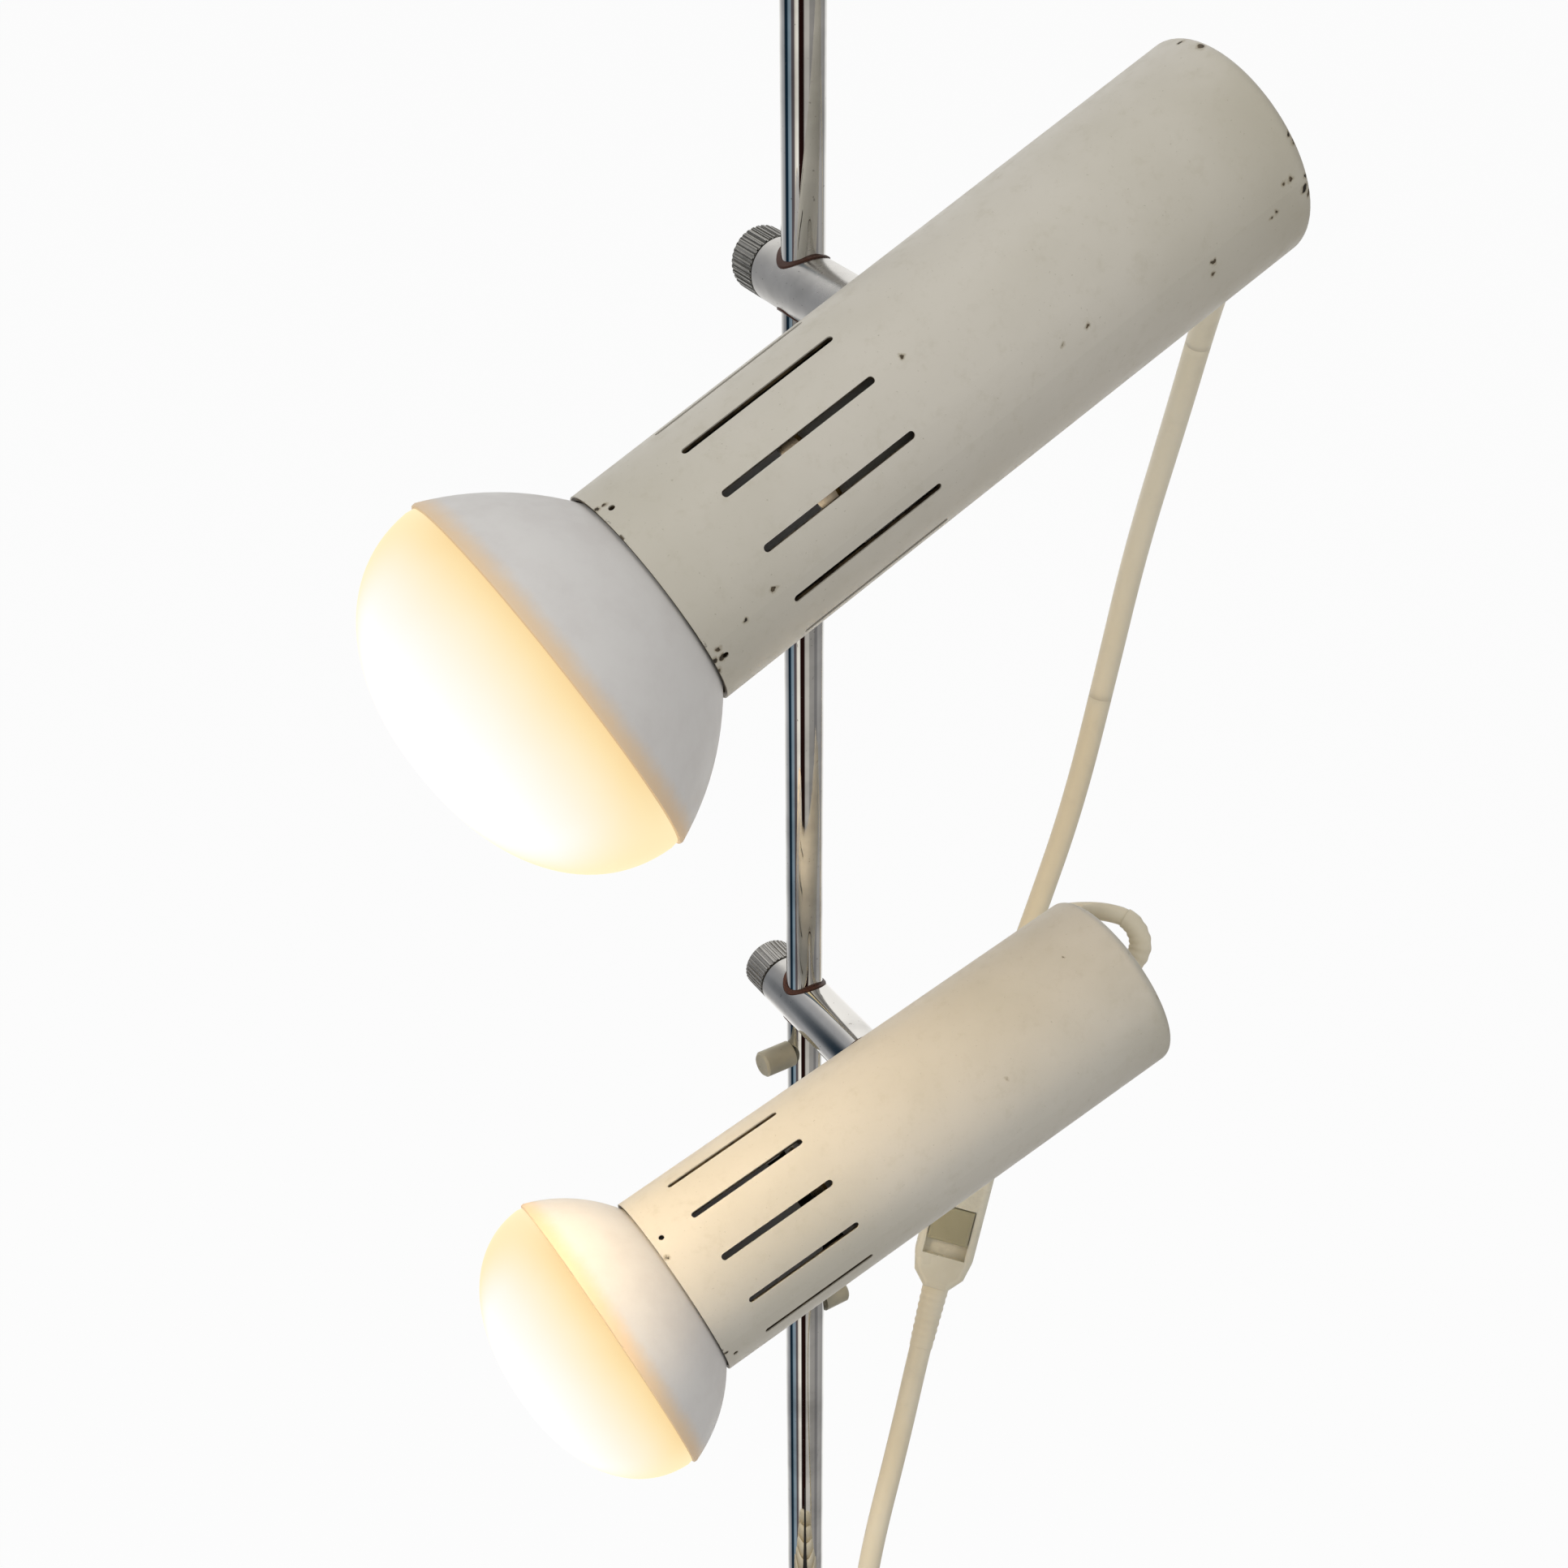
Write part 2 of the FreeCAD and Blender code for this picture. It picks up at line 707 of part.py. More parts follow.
def make_barrel(lamp):
    name = lamp.name
    back = -d.barrel_back
    hole = screw_hole / 2
    bore = radius_of(d.swivel_bore)
    edge = d.barrel_edge
    barrel = turned(name + "_barrel_body", [
        (hole, back), (barrel_radius - edge, back), (barrel_radius, back + edge),
        (barrel_radius, barrel_front), (bore, barrel_front), (bore, d.swivel_bore_back),
        (0, d.swivel_bore_back), (0, 0), (hole, 0)])
    sketch = new_sketch(barrel, name + "_pole_bore_circle", "YZ_Plane")
    draw_circle(sketch, 0, 0, barrel_pole_bore)
    cut_through(barrel, sketch, name + "_pole_bore", both_ways=True)
    screw = d.swivel_screw_diameter + d.running_clearance * 2
    side_hole(barrel, name + "_swivel_screw_hole", d.swivel_screw_place, screw, 180)
    keep(name + "_barrel", barrel, barrel_side(lamp))


def make_knob(lamp):
    """Knurled clamping knob in one piece with the screw that reaches the pad."""
    name = lamp.name
    edge = d.knob_edge
    shank = pad_back + d.screw_clearance
    knob = turned(name + "_knob_body", [
        (0, -knob_end), (barrel_radius - edge, -knob_end), (barrel_radius, edge - knob_end),
        (barrel_radius, -knob_face), (screw_radius, -knob_face), (screw_radius, -shank), (0, -shank)])
    sketch = new_sketch(knob, name + "_groove_outline", "XY_Plane")
    half = d.knob_groove_width / 2
    floor = barrel_radius - d.knob_groove_depth
    outside = barrel_radius + d.knob_groove_depth
    draw_outline(sketch, [(floor, -half), (outside, -half), (outside, half), (floor, half)])
    groove = cut_through(knob, sketch, name + "_groove", both_ways=True)
    pattern = repeat_round(knob, groove, name + "_knurl", d.knob_grooves)
    pattern.Axis = (sketch, ["N_Axis"])
    keep(name + "_knob", knob, barrel_side(lamp))


def make_swivel(lamp):
    """Shaft, washer, saddle and nut on which the spotlight tilts."""
    name = lamp.name
    groove = shaft_radius - d.swivel_groove_depth
    place, half = d.swivel_screw_place, d.swivel_groove_width / 2
    back = d.swivel_bore_back + d.seat_clearance
    shaft = turned(name + "_shaft_body", [
        (0, back), (shaft_radius, back), (shaft_radius, place - half), (groove, place - half),
        (groove, place + half), (shaft_radius, place + half), (shaft_radius, shaft_end), (0, shaft_end)])
    keep(name + "_tilt_shaft", shaft, swivel_side(lamp))
    bore = radius_of(d.swivel_bore)
    washer_end = barrel_front + d.friction_washer_thickness
    washer_radius = barrel_radius - d.barrel_edge
    washer = turned(name + "_washer_body", [
        (bore, barrel_front), (washer_radius, barrel_front), (washer_radius, washer_end), (bore, washer_end)])
    keep(name + "_friction_washer", washer, barrel_side(lamp))
    screw_radius_small = radius_of(d.swivel_screw_diameter)
    screw_tip = groove + d.seat_clearance
    screw_head = barrel_radius - d.seat_clearance
    screw = turned(name + "_swivel_screw_body", [
        (0, screw_tip), (screw_radius_small, screw_tip), (screw_radius_small, screw_head), (0, screw_head)])
    screw_place = chain(barrel_side(lamp), moved(z=place), rotated(AXIS_Y, -90))
    keep(name + "_swivel_screw", screw, screw_place)
    saddle_start = washer_end + d.seat_clearance
    saddle = turned(name + "_saddle_body", [
        (bore, saddle_start), (barrel_radius, saddle_start), (barrel_radius, d.head_offset - head_bore),
        (bore, d.head_offset - head_bore)])
    saddle.setExpression("Placement", chain(moved(x=-d.head_offset), rotated(AXIS_Y, 90)))
    tube = cylinder(name + "_saddle_seat", d.head_diameter, d.head_diameter, moved(z=-head_radius))
    keep(name + "_saddle", combined("Cut", name + "_saddle_cut", saddle, tube), head_side(lamp))
    make_shaft_nut(lamp, bore)


def make_shaft_nut(lamp, bore):
    """Hexagon nut inside the spotlight's wall."""
    name = lamp.name
    body = new_body(name + "_nut_body")
    sketch = new_sketch(body, name + "_nut_outline", "XY_Plane")
    flat, corner = d.shaft_nut_width / 2, nut_corner
    points = [(0, corner), (-flat, corner / 2), (-flat, -corner / 2), (0, -corner),
              (flat, -corner / 2), (flat, corner / 2)]
    draw_outline(sketch, points)
    draw_circle(sketch, 0, 0, bore * 2)
    pad = body.newObject("PartDesign::Pad", name + "_nut_pad")
    pad.Profile = sketch
    pad.Length = d.shaft_nut_thickness.value
    pad.setExpression("Length", d.shaft_nut_thickness.formula)
    keep(name + "_shaft_nut", body, chain(swivel_side(lamp), moved(z=nut_seat)))


# ------------------------------------------------------------------ spotlights

seam_radius = radius_of(d.bulb_seam_diameter)


def make_head(lamp):
    name = lamp.name
    neck = radius_of(d.gland_neck_diameter, d.running_clearance)
    rear, inside = -lamp.rear, d.head_wall - lamp.rear
    shell = turned(name + "_shell_body", [
        (neck, rear), (head_radius, rear), (head_radius, d.head_front), (head_bore, d.head_front),
        (head_bore, inside), (neck, inside)])
    rounded(shell, name + "_shell_rear", d.head_rear_rounding, circle_at(head_radius, rear))
    inner_rounding = d.head_rear_rounding - d.head_wall
    rounded(shell, name + "_shell_rear_inside", inner_rounding, circle_at(head_bore, inside))
    sketch = new_sketch(shell, name + "_slot_outline", "XZ_Plane", lamp.slot_turn)
    draw_slot(sketch, lamp.slot_start, lamp.slot_end, d.slot_width)
    slot = cut_through(shell, sketch, name + "_slot")
    repeat_round(shell, slot, name + "_slots", d.slot_count)
    sketch = new_sketch(shell, name + "_rim_hole_circle", "XZ_Plane", lamp.slot_turn)
    draw_circle(sketch, 0, d.head_front - d.rim_hole_from_rim, d.rim_hole_diameter)
    hole = cut_through(shell, sketch, name + "_rim_hole")
    repeat_round(shell, hole, name + "_rim_holes", d.rim_hole_count)
    side_hole(shell, name + "_swivel_hole", 0, d.swivel_bore, 180)
    keep(name + "_head_shell", shell, head_side(lamp))
    flange = radius_of(d.gland_flange_diameter)
    neck = radius_of(d.gland_neck_diameter)
    flange_end = -lamp.rear - d.gland_flange_thickness
    nose = radius_of(lamp.cord) + d.gland_nose_wall
    gland = turned(name + "_gland_body", [
        (0, -lamp.gland_end), (nose, -lamp.gland_end), (nose, flange_end), (flange, flange_end),
        (flange, rear), (neck, rear), (neck, inside), (0, inside)])
    keep(name + "_cord_gland", gland, head_side(lamp))


def make_lampholder(lamp):
    """Riveted strap across the tube, nipple and screw lampholder."""
    name = lamp.name
    start = lamp.holder
    strap_back = start - d.bracket_thickness
    nipple = radius_of(d.nipple_diameter)
    nipple_hole = nipple + d.running_clearance
    outside = head_bore - d.running_clearance
    inside = outside - d.bracket_thickness
    cup = turned(name + "_bracket_body", [
        (nipple_hole, strap_back), (outside, strap_back), (outside, start + d.bracket_leg),
        (inside, start + d.bracket_leg), (inside, start), (nipple_hole, start)])
    strap_place = chain(rotated(AXIS_Z, d.bracket_bearing), moved(z=strap_back))
    strap = box(name + "_bracket_strap", d.head_diameter, d.bracket_width,
                d.bracket_leg + d.bracket_thickness, strap_place)
    bracket = combined("Common", name + "_bracket_cut", cup, strap)
    keep(name + "_holder_bracket", bracket, head_side(lamp))
    bore = radius_of(d.nipple_bore)
    flange = radius_of(d.nipple_flange_diameter)
    flange_back = strap_back - d.nipple_flange_thickness
    nipple_end = flange_back + d.nipple_length
    tube = turned(name + "_nipple_body", [
        (bore, flange_back), (flange, flange_back), (flange, strap_back), (nipple, strap_back),
        (nipple, nipple_end), (bore, nipple_end)])
    keep(name + "_holder_nipple", tube, head_side(lamp))
    skirt = radius_of(d.holder_diameter)
    back = radius_of(d.holder_back_diameter)
    mouth = radius_of(d.bulb_cap_diameter, d.seat_clearance)
    end = start + d.holder_length
    base = start + d.holder_base
    step = start + d.holder_back_length
    holder = turned(name + "_holder_body", [
        (nipple_hole, start), (back, start), (skirt, step), (skirt, end), (mouth, end),
        (mouth, base), (nipple_hole, base)])
    keep(name + "_lampholder", holder, head_side(lamp))


def make_bulb(lamp):
    """Reflector bulb: screw cap, silvered cone and domed front."""
    name = lamp.name
    cap, tip = radius_of(d.bulb_cap_diameter), radius_of(d.bulb_tip_diameter)
    start, end = lamp.cap_end, lamp.cap_end + d.bulb_cap_length
    tip_end = start + d.bulb_tip_length
    body = turned(name + "_cap_body", [
        (0, start), (tip, start), (tip, tip_end), (cap, tip_end + d.bulb_cap_cone), (cap, end), (0, end)])
    keep(name + "_bulb_cap", body, head_side(lamp))
    rim_radius = head_bore - d.bulb_rim_gap
    slope = (seam_radius - rim_radius) / lamp.reach
    steep = (slope * slope + 1).root()
    glass = d.bulb_glass
    neck = radius_of(d.bulb_neck_diameter)
    cone_start = d.head_front - (rim_radius - neck) / slope
    inner_start = cone_start + glass * (steep - 1) / slope
    seam_inner = seam_radius - glass * steep
    shoulder = end + d.bulb_shoulder
    cone = turned(name + "_reflector_body", [
        (cap - glass, end), (cap, end), (neck, shoulder), (neck, cone_start), (seam_radius, lamp.seam),
        (seam_inner, lamp.seam), (neck - glass, inner_start), (neck - glass, shoulder)])
    keep(name + "_bulb_reflector", cone, head_side(lamp))
    lens = doc.addObject("Part::Feature", name + "_lens")
    lens.Shape = dome(seam_radius.value, d.bulb_dome_depth.value, d.bulb_edge_radius.value, glass.value)
    keep(name + "_bulb_lens", lens, chain(head_side(lamp), moved(z=lamp.seam)))


def dome(radius, depth, edge_radius, glass):
    """Shell under an oval of two tangent arcs, with its open edge on the XY plane."""
    edge_x = radius - edge_radius
    spare = depth - edge_radius
    crown_drop = (edge_x * edge_x - spare * spare) / (2 * spare)
    crown_radius = depth + crown_drop
    lean = atan2(crown_drop, edge_x)
    edges = []
    for inset in (0, glass):
        small, large = edge_radius - inset, crown_radius - inset
        joint = Vector(edge_x + small * cos(lean), 0, small * sin(lean))
        side = Vector(edge_x + small * cos(lean / 2), 0, small * sin(lean / 2))
        half = (lean + pi / 2) / 2
        crown = Vector(large * cos(half), 0, large * sin(half) - crown_drop)
        edges.append(Part.Arc(Vector(edge_x + small, 0, 0), side, joint).toShape())
        edges.append(Part.Arc(joint, crown, Vector(0, 0, depth - inset)).toShape())
    edges.append(Part.LineSegment(Vector(radius - glass, 0, 0), Vector(radius, 0, 0)).toShape())
    edges.append(Part.LineSegment(Vector(0, 0, depth), Vector(0, 0, depth - glass)).toShape())
    face = Part.Face(Part.Wire(Part.__sortEdges__(edges)))
    return face.revolve(Vector(), Vector(0, 0, 1), 360)


def new_lamp(name, height, pan, tilt, length, reach, slots, cord):
    lamp = SimpleNamespace(name=name, height=height, pan=pan, tilt=tilt, reach=reach, cord=cord)
    lamp.rear = length - d.head_front
    lamp.gland_end = lamp.rear + d.gland_flange_thickness + d.gland_nose_length
    lamp.slot_start, lamp.slot_end, lamp.slot_turn = slots
    lamp.seam = d.head_front + reach
    lamp.cap_end = lamp.seam + d.bulb_dome_depth - d.bulb_length
    lamp.holder = lamp.cap_end - d.holder_base - d.seat_clearance
    return lamp


UPPER = new_lamp("upper", d.upper_clamp_height, d.upper_pan, d.upper_tilt,
                 d.upper_head_length, d.upper_bulb_reach,
                 (d.upper_slot_start, d.upper_slot_end, d.upper_slot_turn), d.cord_diameter)
LOWER = new_lamp("lower", d.lower_clamp_height, d.lower_pan, d.lower_tilt,
                 d.lower_head_length, d.lower_bulb_reach,
                 (d.lower_slot_start, d.lower_slot_end, d.lower_slot_turn), d.lead_diameter)


# ------------------------------------------------------------------ switch and plug

SWITCH_FOOT = Vector(45.4, -5.2, 1103)
SWITCH_UP = Vector(0.23, 0.52, 0.82)
SWITCH_FRONT = Vector(-0.1, -0.83, 0.55)
UPPER_INLET = -3.4
LOWER_INLET = 4.4


def frame_at(point, up, front):
    """Placement with +Z along up and -Y as near as it goes to front."""
    rotation = FreeCAD.Rotation(Vector(), -front, up, "ZYX")
    return FreeCAD.Placement(point, rotation)


switch_frame = frame_at(SWITCH_FOOT, SWITCH_UP, SWITCH_FRONT)
half_thickness = d.switch_thickness / 2


def switch_outline():
    """Blunt taper at the foot, straight sides and a flat top for the two inlets."""
    end, shoulder, side = d.switch_end_width / 2, d.switch_shoulder_width / 2, d.switch_width / 2
    return [(-end, 0), (end, 0), (shoulder, d.switch_shoulder_height), (side, d.switch_taper_height),
            (side, d.switch_length), (-side, d.switch_length), (-side, d.switch_taper_height),
            (-shoulder, d.switch_shoulder_height)]


def upright_corner(half_width, height):
    """Test for the edge across the housing at a corner of its outline."""
    half_width, height = half_width.value, as_size(height).value

    def wanted(edge):
        low, high = edge.BoundBox.getPoint(0), edge.BoundBox.getPoint(6)
        across = edge.BoundBox.XLength < 1e-4 and edge.BoundBox.ZLength < 1e-4
        return across and abs(abs(low.x) - half_width) < 1e-3 and abs(high.z - height) < 1e-3

    return wanted


def switch_half(name, backward):
    body = new_body(name + "_body")
    sketch = new_sketch(body, name + "_outline", "XZ_Plane")
    draw_outline(sketch, switch_outline())
    pad = body.newObject("PartDesign::Pad", name + "_pad")
    pad.Profile = sketch
    pad.Length = half_thickness.value
    pad.setExpression("Length", half_thickness.formula)
    pad.Reversed = backward
    rounded(body, name + "_top", d.switch_top_corner, upright_corner(d.switch_width / 2, d.switch_length))
    rounded(body, name + "_taper", d.switch_corner, upright_corner(d.switch_width / 2, d.switch_taper_height))
    face = half_thickness.value if backward else -half_thickness.value
    rounded(body, name + "_edge", d.switch_edge, lambda edge: lies_at(edge, face))
    return body


def lies_at(edge, height):
    bounds = edge.BoundBox
    return bounds.YLength < 1e-4 and abs(bounds.YMin - height) < 1e-4


def make_switch():
    keep_at("switch_base", switch_half("switch_back", True), switch_frame)
    cover = switch_half("switch_front", False)
    floor = half_thickness - d.slider_well
    low = d.slider_place - d.slider_length / 2
    high = d.slider_place + d.slider_length / 2
    well_low = low - d.slider_travel - d.seat_clearance
    well_high = high + d.seat_clearance
    half = d.slider_width / 2
    side = half + d.seat_clearance
    well = raised_sketch(cover, "slider_well_outline", floor)
    draw_outline(well, [(-side, well_low), (side, well_low), (side, well_high), (-side, well_high)])
    cut_through(cover, well, "slider_well_cut", outward=True)
    keep_at("switch_cover", cover, switch_frame)
    slider = new_body("slider_body")
    sketch = raised_sketch(slider, "slider_outline", floor + d.screw_clearance)
    draw_outline(sketch, [(-half, low), (half, low), (half, high), (-half, high)])
    pad = slider.newObject("PartDesign::Pad", "slider_pad")
    pad.Profile = sketch
    height = d.slider_well + d.slider_proud - d.screw_clearance
    pad.Length = height.value
    pad.setExpression("Length", height.formula)
    face = -(half_thickness + d.slider_proud).value
    rounded(slider, "slider_edge", d.slider_edge, lambda edge: lies_at(edge, face))
    keep_at("switch_slider", slider, switch_frame)


def raised_sketch(body, name, height):
    """A sketch on the XZ plane, moved forward by a size."""
    sketch = new_sketch(body, name, "XZ_Plane")
    sketch.AttachmentOffset = FreeCAD.Placement(Vector(0, 0, height.value), FreeCAD.Rotation())
    sketch.setExpression("AttachmentOffset", moved(z=height))
    return sketch


def keep_at(label, item, placement):
    """Name a sub-part that hangs on a cord and set its place."""
    keep(label, item)
    item.Placement = placement


def make_plug(place):
    spout, body = radius_of(d.plug_spout_diameter), radius_of(d.plug_body_diameter)
    shoulder = d.plug_spout_length
    widest = shoulder + d.plug_shoulder_length
    face = widest + d.plug_body_length
    seat = face - d.plug_carrier_depth
    carrier = radius_of(d.plug_carrier_diameter)
    housing = turned("plug_housing", [
        (0, 0), (spout, 0), (spout + d.plug_edge, shoulder), (body, widest), (body, face),
        (carrier + d.running_clearance, face), (carrier + d.running_clearance, seat), (0, seat)])
    rounded(housing, "plug_shoulder", d.plug_blend, circle_at(body, widest))
    rounded(housing, "plug_waist", d.plug_blend, circle_at(spout + d.plug_edge, shoulder))
    rounded(housing, "plug_rim", d.plug_edge, circle_at(body, face))
    keep_at("plug_body", housing, place)
    pins = new_body("plug_pins_body")
    sketch = new_sketch(pins, "carrier_circle", "XY_Plane")
    draw_circle(sketch, 0, 0, d.plug_carrier_diameter)
    add_pad(pins, sketch, "carrier_pad", d.plug_carrier_depth)
    sketch = new_sketch(pins, "pin_circles", "XY_Plane")
    for side in (d.plug_pin_spacing / 2, -d.plug_pin_spacing / 2):
        draw_circle(sketch, side, 0, d.plug_pin_diameter)
    add_pad(pins, sketch, "pins_pad", d.plug_carrier_depth + d.plug_pin_length)
    seat_place = FreeCAD.Placement(Vector(0, 0, seat.value), FreeCAD.Rotation())
    keep_at("plug_pins", pins, place.multiply(seat_place))


def add_pad(body, sketch, name, length):
    pad = body.newObject("PartDesign::Pad", name)
    pad.Profile = sketch
    pad.Length = length.value
    pad.setExpression("Length", length.formula)
    return pad


# ------------------------------------------------------------------ cords

CORD_ARC_SHARE = 0.45

UPPER_CORD_POINTS = [
    (111.9, -4, 1491.4), (113.2, 4.4, 1483), (112.7, 17, 1470.5), (112.5, 35.7, 1451.8),
    (112, 62, 1422), (108, 69, 1390),
    (101, 78, 1342), (95, 76, 1298), (87, 66, 1255), (76, 55, 1218), (65, 44, 1185),
]
LOWER_CORD_POINTS = [
    (102.2, -10.2, 1254), (98.6, -5.8, 1260.2), (90.6, -2, 1260.2), (83.6, 6, 1254.5),
    (80, 18, 1245), (78.5, 28, 1229.5), (75.5, 34.5, 1210), (71.5, 36.5, 1189),
]
MAIN_CORD_POINTS = [
    (33.5, -36, 1059), (24.3, -57.2, 1025.8), (21, -67, 998), (24.5, -69.5, 968), (32.5, -63.5, 941),
]
UPPER_GLAND_RUN = 6.5
LOWER_GLAND_RUN = 5
INLET_RUN = 14
MAIN_RUN = 21


def unit(vector):
    return vector / vector.Length


def rounded_route(points):
    """Straight runs joined by tangent arcs, each as large as its two runs allow."""
    edges = []
    radii = []
    start = points[0]
    for before, corner, after in zip(points, points[1:], points[2:]):
        arriving, leaving = unit(corner - before), unit(after - corner)
        half_turn = arriving.getAngle(leaving) / 2
        reach = CORD_ARC_SHARE * min((corner - before).Length, (after - corner).Length)
        radius = reach / tan(half_turn)
        arc_start, arc_end = corner - arriving * reach, corner + leaving * reach
        middle = corner + unit(leaving - arriving) * (radius / cos(half_turn) - radius)
        edges.append(Part.LineSegment(start, arc_start).toShape())
        edges.append(Part.Arc(arc_start, middle, arc_end).toShape())
        radii.append(radius)
        start = arc_end
    edges.append(Part.LineSegment(start, points[-1]).toShape())
    return edges, radii


def tube_along(name, edges, start, direction, diameter):
    """A round tube along a route of tangent edges."""
    section = Part.Circle(start, direction, diameter / 2).toShape()
    route = Part.Wire(edges)
    shape = route.makePipeShell([Part.Wire([section])], True, False)
    expected = pi * diameter * diameter / 4 * route.Length
    print(f"{name}: length {route.Length:.0f} mm, volume {shape.Volume / expected:.4f} of section x length")
    cord = doc.addObject("Part::Feature", name + "_tube")
    cord.Shape = shape
    return keep(name, cord)


def free_cord(name, points, diameter):
    edges, radii = rounded_route(points)
    tube_along(name, edges, points[0], points[1] - points[0], diameter)
    print("  radii", " ".join(f"{radius:.0f}" for radius in radii))


def arc_from(start, direction, end):
    """Arc that leaves its start along a direction and reaches its end."""
    chord = end - start
    along = unit(chord)
    bulge = direction - along * direction.dot(along)
    half_angle = direction.getAngle(chord) / 2
    if bulge.Length < 1e-9:
        return Part.LineSegment(start, end).toShape()
    middle = start + chord / 2 + unit(bulge) * (chord.Length / 2 * tan(half_angle))
    return Part.Arc(start, middle, end).toShape()


def biarc(start, start_direction, end, end_direction):
    """Two tangent arcs from one point and direction to another."""
    gap = end - start
    directions = start_direction + end_direction
    bend = 2 * (1 - start_direction.dot(end_direction))
    reach = (sqrt(gap.dot(directions) ** 2 + bend * gap.dot(gap)) - gap.dot(directions)) / bend
    joint = (start + end + (start_direction - end_direction) * reach) / 2
    first = arc_from(start, start_direction, joint)
    joint_direction = unit(joint - start) * (2 * unit(joint - start).dot(start_direction)) - start_direction
    return [first, arc_from(joint, joint_direction, end)]


coil_standoff = (outer_radius + d.tie_clearance * 2 + d.tie_thickness + d.tie_loops_apart
                 + d.cord_diameter / 2)


def coil_stations(radius, steps_per_turn=4):
    """Points and directions round the hanging coil, front to back, a diameter apart."""
    stations = []
    steps = int(d.coil_turns.value) * steps_per_turn
    step_length = d.coil_step.value / steps_per_turn
    front = -coil_standoff.value - d.coil_turns.value * d.coil_step.value
    for index in range(steps + 1):
        angle = -2 * pi * index / steps_per_turn
        point = Vector(radius * cos(angle), front + step_length * index, radius * sin(angle))
        point.z += d.coil_height.value
        direction = Vector(2 * pi * radius * sin(angle), d.coil_step.value, -2 * pi * radius * cos(angle))
        stations.append((point, unit(direction)))
    return stations


def least_gap(edges, diameter):
    """Least gap between stretches of a tube that are more than half a turn apart."""
    samples = []
    travelled = 0
    for edge in edges:
        count = max(2, int(edge.Length / 4))
        for index in range(count):
            at = edge.Length * index / count
            samples.append((travelled + at, edge.valueAt(edge.getParameterByLength(at))))
        travelled += edge.Length
    apart = pi * d.coil_radius.value
    least = min((first.distanceToPoint(second) for at, first in samples for later, second in samples
                 if later - at > apart), default=0)
    return least - diameter


def make_coil():
    """The rest of the flex, hung in turns in front of the pole, and its tail to the plug."""
    diameter = d.cord_diameter.value
    down = Vector(0, 0, -1)
    stations = coil_stations(d.coil_radius.value)
    stations[0] = (stations[0][0], down)
    stations[-1] = (stations[-1][0], down)
    entry, leaving = stations[0][0], stations[-1][0]
    start = entry - down * diameter
    edges = [Part.LineSegment(start, entry).toShape()]
    for (here, here_way), (there, there_way) in zip(stations, stations[1:]):
        edges += biarc(here, here_way, there, there_way)
    tail = d.tail_length.value
    tail_points = [leaving, leaving + Vector(0, 0, -tail * 0.3), leaving + Vector(-5, -3, -tail * 0.65),
                   leaving + Vector(-6, -6, -tail)]
    tail_edges, radii = rounded_route(tail_points)
    edges += tail_edges
    tube_along("cord_coil", edges, start, down, diameter)
    print("  tail radii", " ".join(f"{radius:.0f}" for radius in radii))
    print(f"  least gap of the coil to itself {least_gap(edges, diameter):.2f} mm")
    return start, tail_points[-1], unit(tail_points[-1] - tail_points[-2])


def make_tie():
    """Strap with one loop round the outer tube and one round the turns of the coil."""
    width, wall, gap = d.tie_width, d.tie_thickness, d.tie_clearance
    height = d.coil_height + d.coil_radius
    inside = outer_radius + gap
    low = moved(z=height - width / 2)
    around_pole = combined("Cut", "tie_pole_loop",
                           cylinder("tie_pole_outside", (inside + wall) * 2, width, low),
                           cylinder("tie_pole_inside", inside * 2, width, low))
    bundle_back = -coil_standoff + d.cord_diameter / 2 + gap
    bundle_front = -coil_standoff - d.coil_turns * d.coil_step - d.cord_diameter / 2 - gap
    depth = bundle_back - bundle_front
    middle = (bundle_back + bundle_front) / 2
    tall = d.cord_diameter + gap * 2
    outer = box("tie_bundle_outside", width, depth + wall * 2, tall + wall * 2,
                moved(y=middle, z=height - tall / 2 - wall))
    inner = box("tie_bundle_inside", width, depth, tall, moved(y=middle, z=height - tall / 2))
    around_coil = combined("Cut", "tie_coil_loop", outer, inner)
    keep("cord_tie", combined("Fuse", "tie", around_pole, around_coil))


def gland_point(lamp):
    """Where a cord leaves its spotlight, and the way it points there."""
    pan, tilt = radians(lamp.pan.value), radians(lamp.tilt.value)
    barrel = Vector(cos(pan), -sin(pan), 0)
    forward = Vector(-sin(pan) * cos(tilt), -cos(pan) * cos(tilt), -sin(tilt))
    pivot = barrel * d.head_offset.value + Vector(0, 0, lamp.height.value)
    return pivot - forward * lamp.gland_end.value, -forward


def head_cord(lamp, points, gland_run, inlet):
    """Cord from a spotlight's gland to its inlet in the top of the switch."""
    start, way = gland_point(lamp)
    end = switch_frame.multVec(Vector(inlet, 0, d.switch_length.value))
    up = unit(SWITCH_UP)
    route = [start, start + way * gland_run] + [Vector(*point) for point in points]
    route += [end + up * INLET_RUN, end]
    free_cord(lamp.name + "_cord", route, lamp.cord.value)


def make_cords():
    head_cord(UPPER, UPPER_CORD_POINTS, UPPER_GLAND_RUN, UPPER_INLET)
    head_cord(LOWER, LOWER_CORD_POINTS, LOWER_GLAND_RUN, LOWER_INLET)
    coil_start, plug_point, plug_way = make_coil()
    down = -unit(SWITCH_UP)
    route = [SWITCH_FOOT, SWITCH_FOOT + down * MAIN_RUN] + [Vector(*point) for point in MAIN_CORD_POINTS]
    route += [coil_start + Vector(0, 0, MAIN_RUN), coil_start]
    free_cord("main_cord", route, d.cord_diameter.value)
    make_tie()
    make_plug(frame_at(plug_point, plug_way, Vector(0, -1, 0)))


# ------------------------------------------------------------------ build, check and write

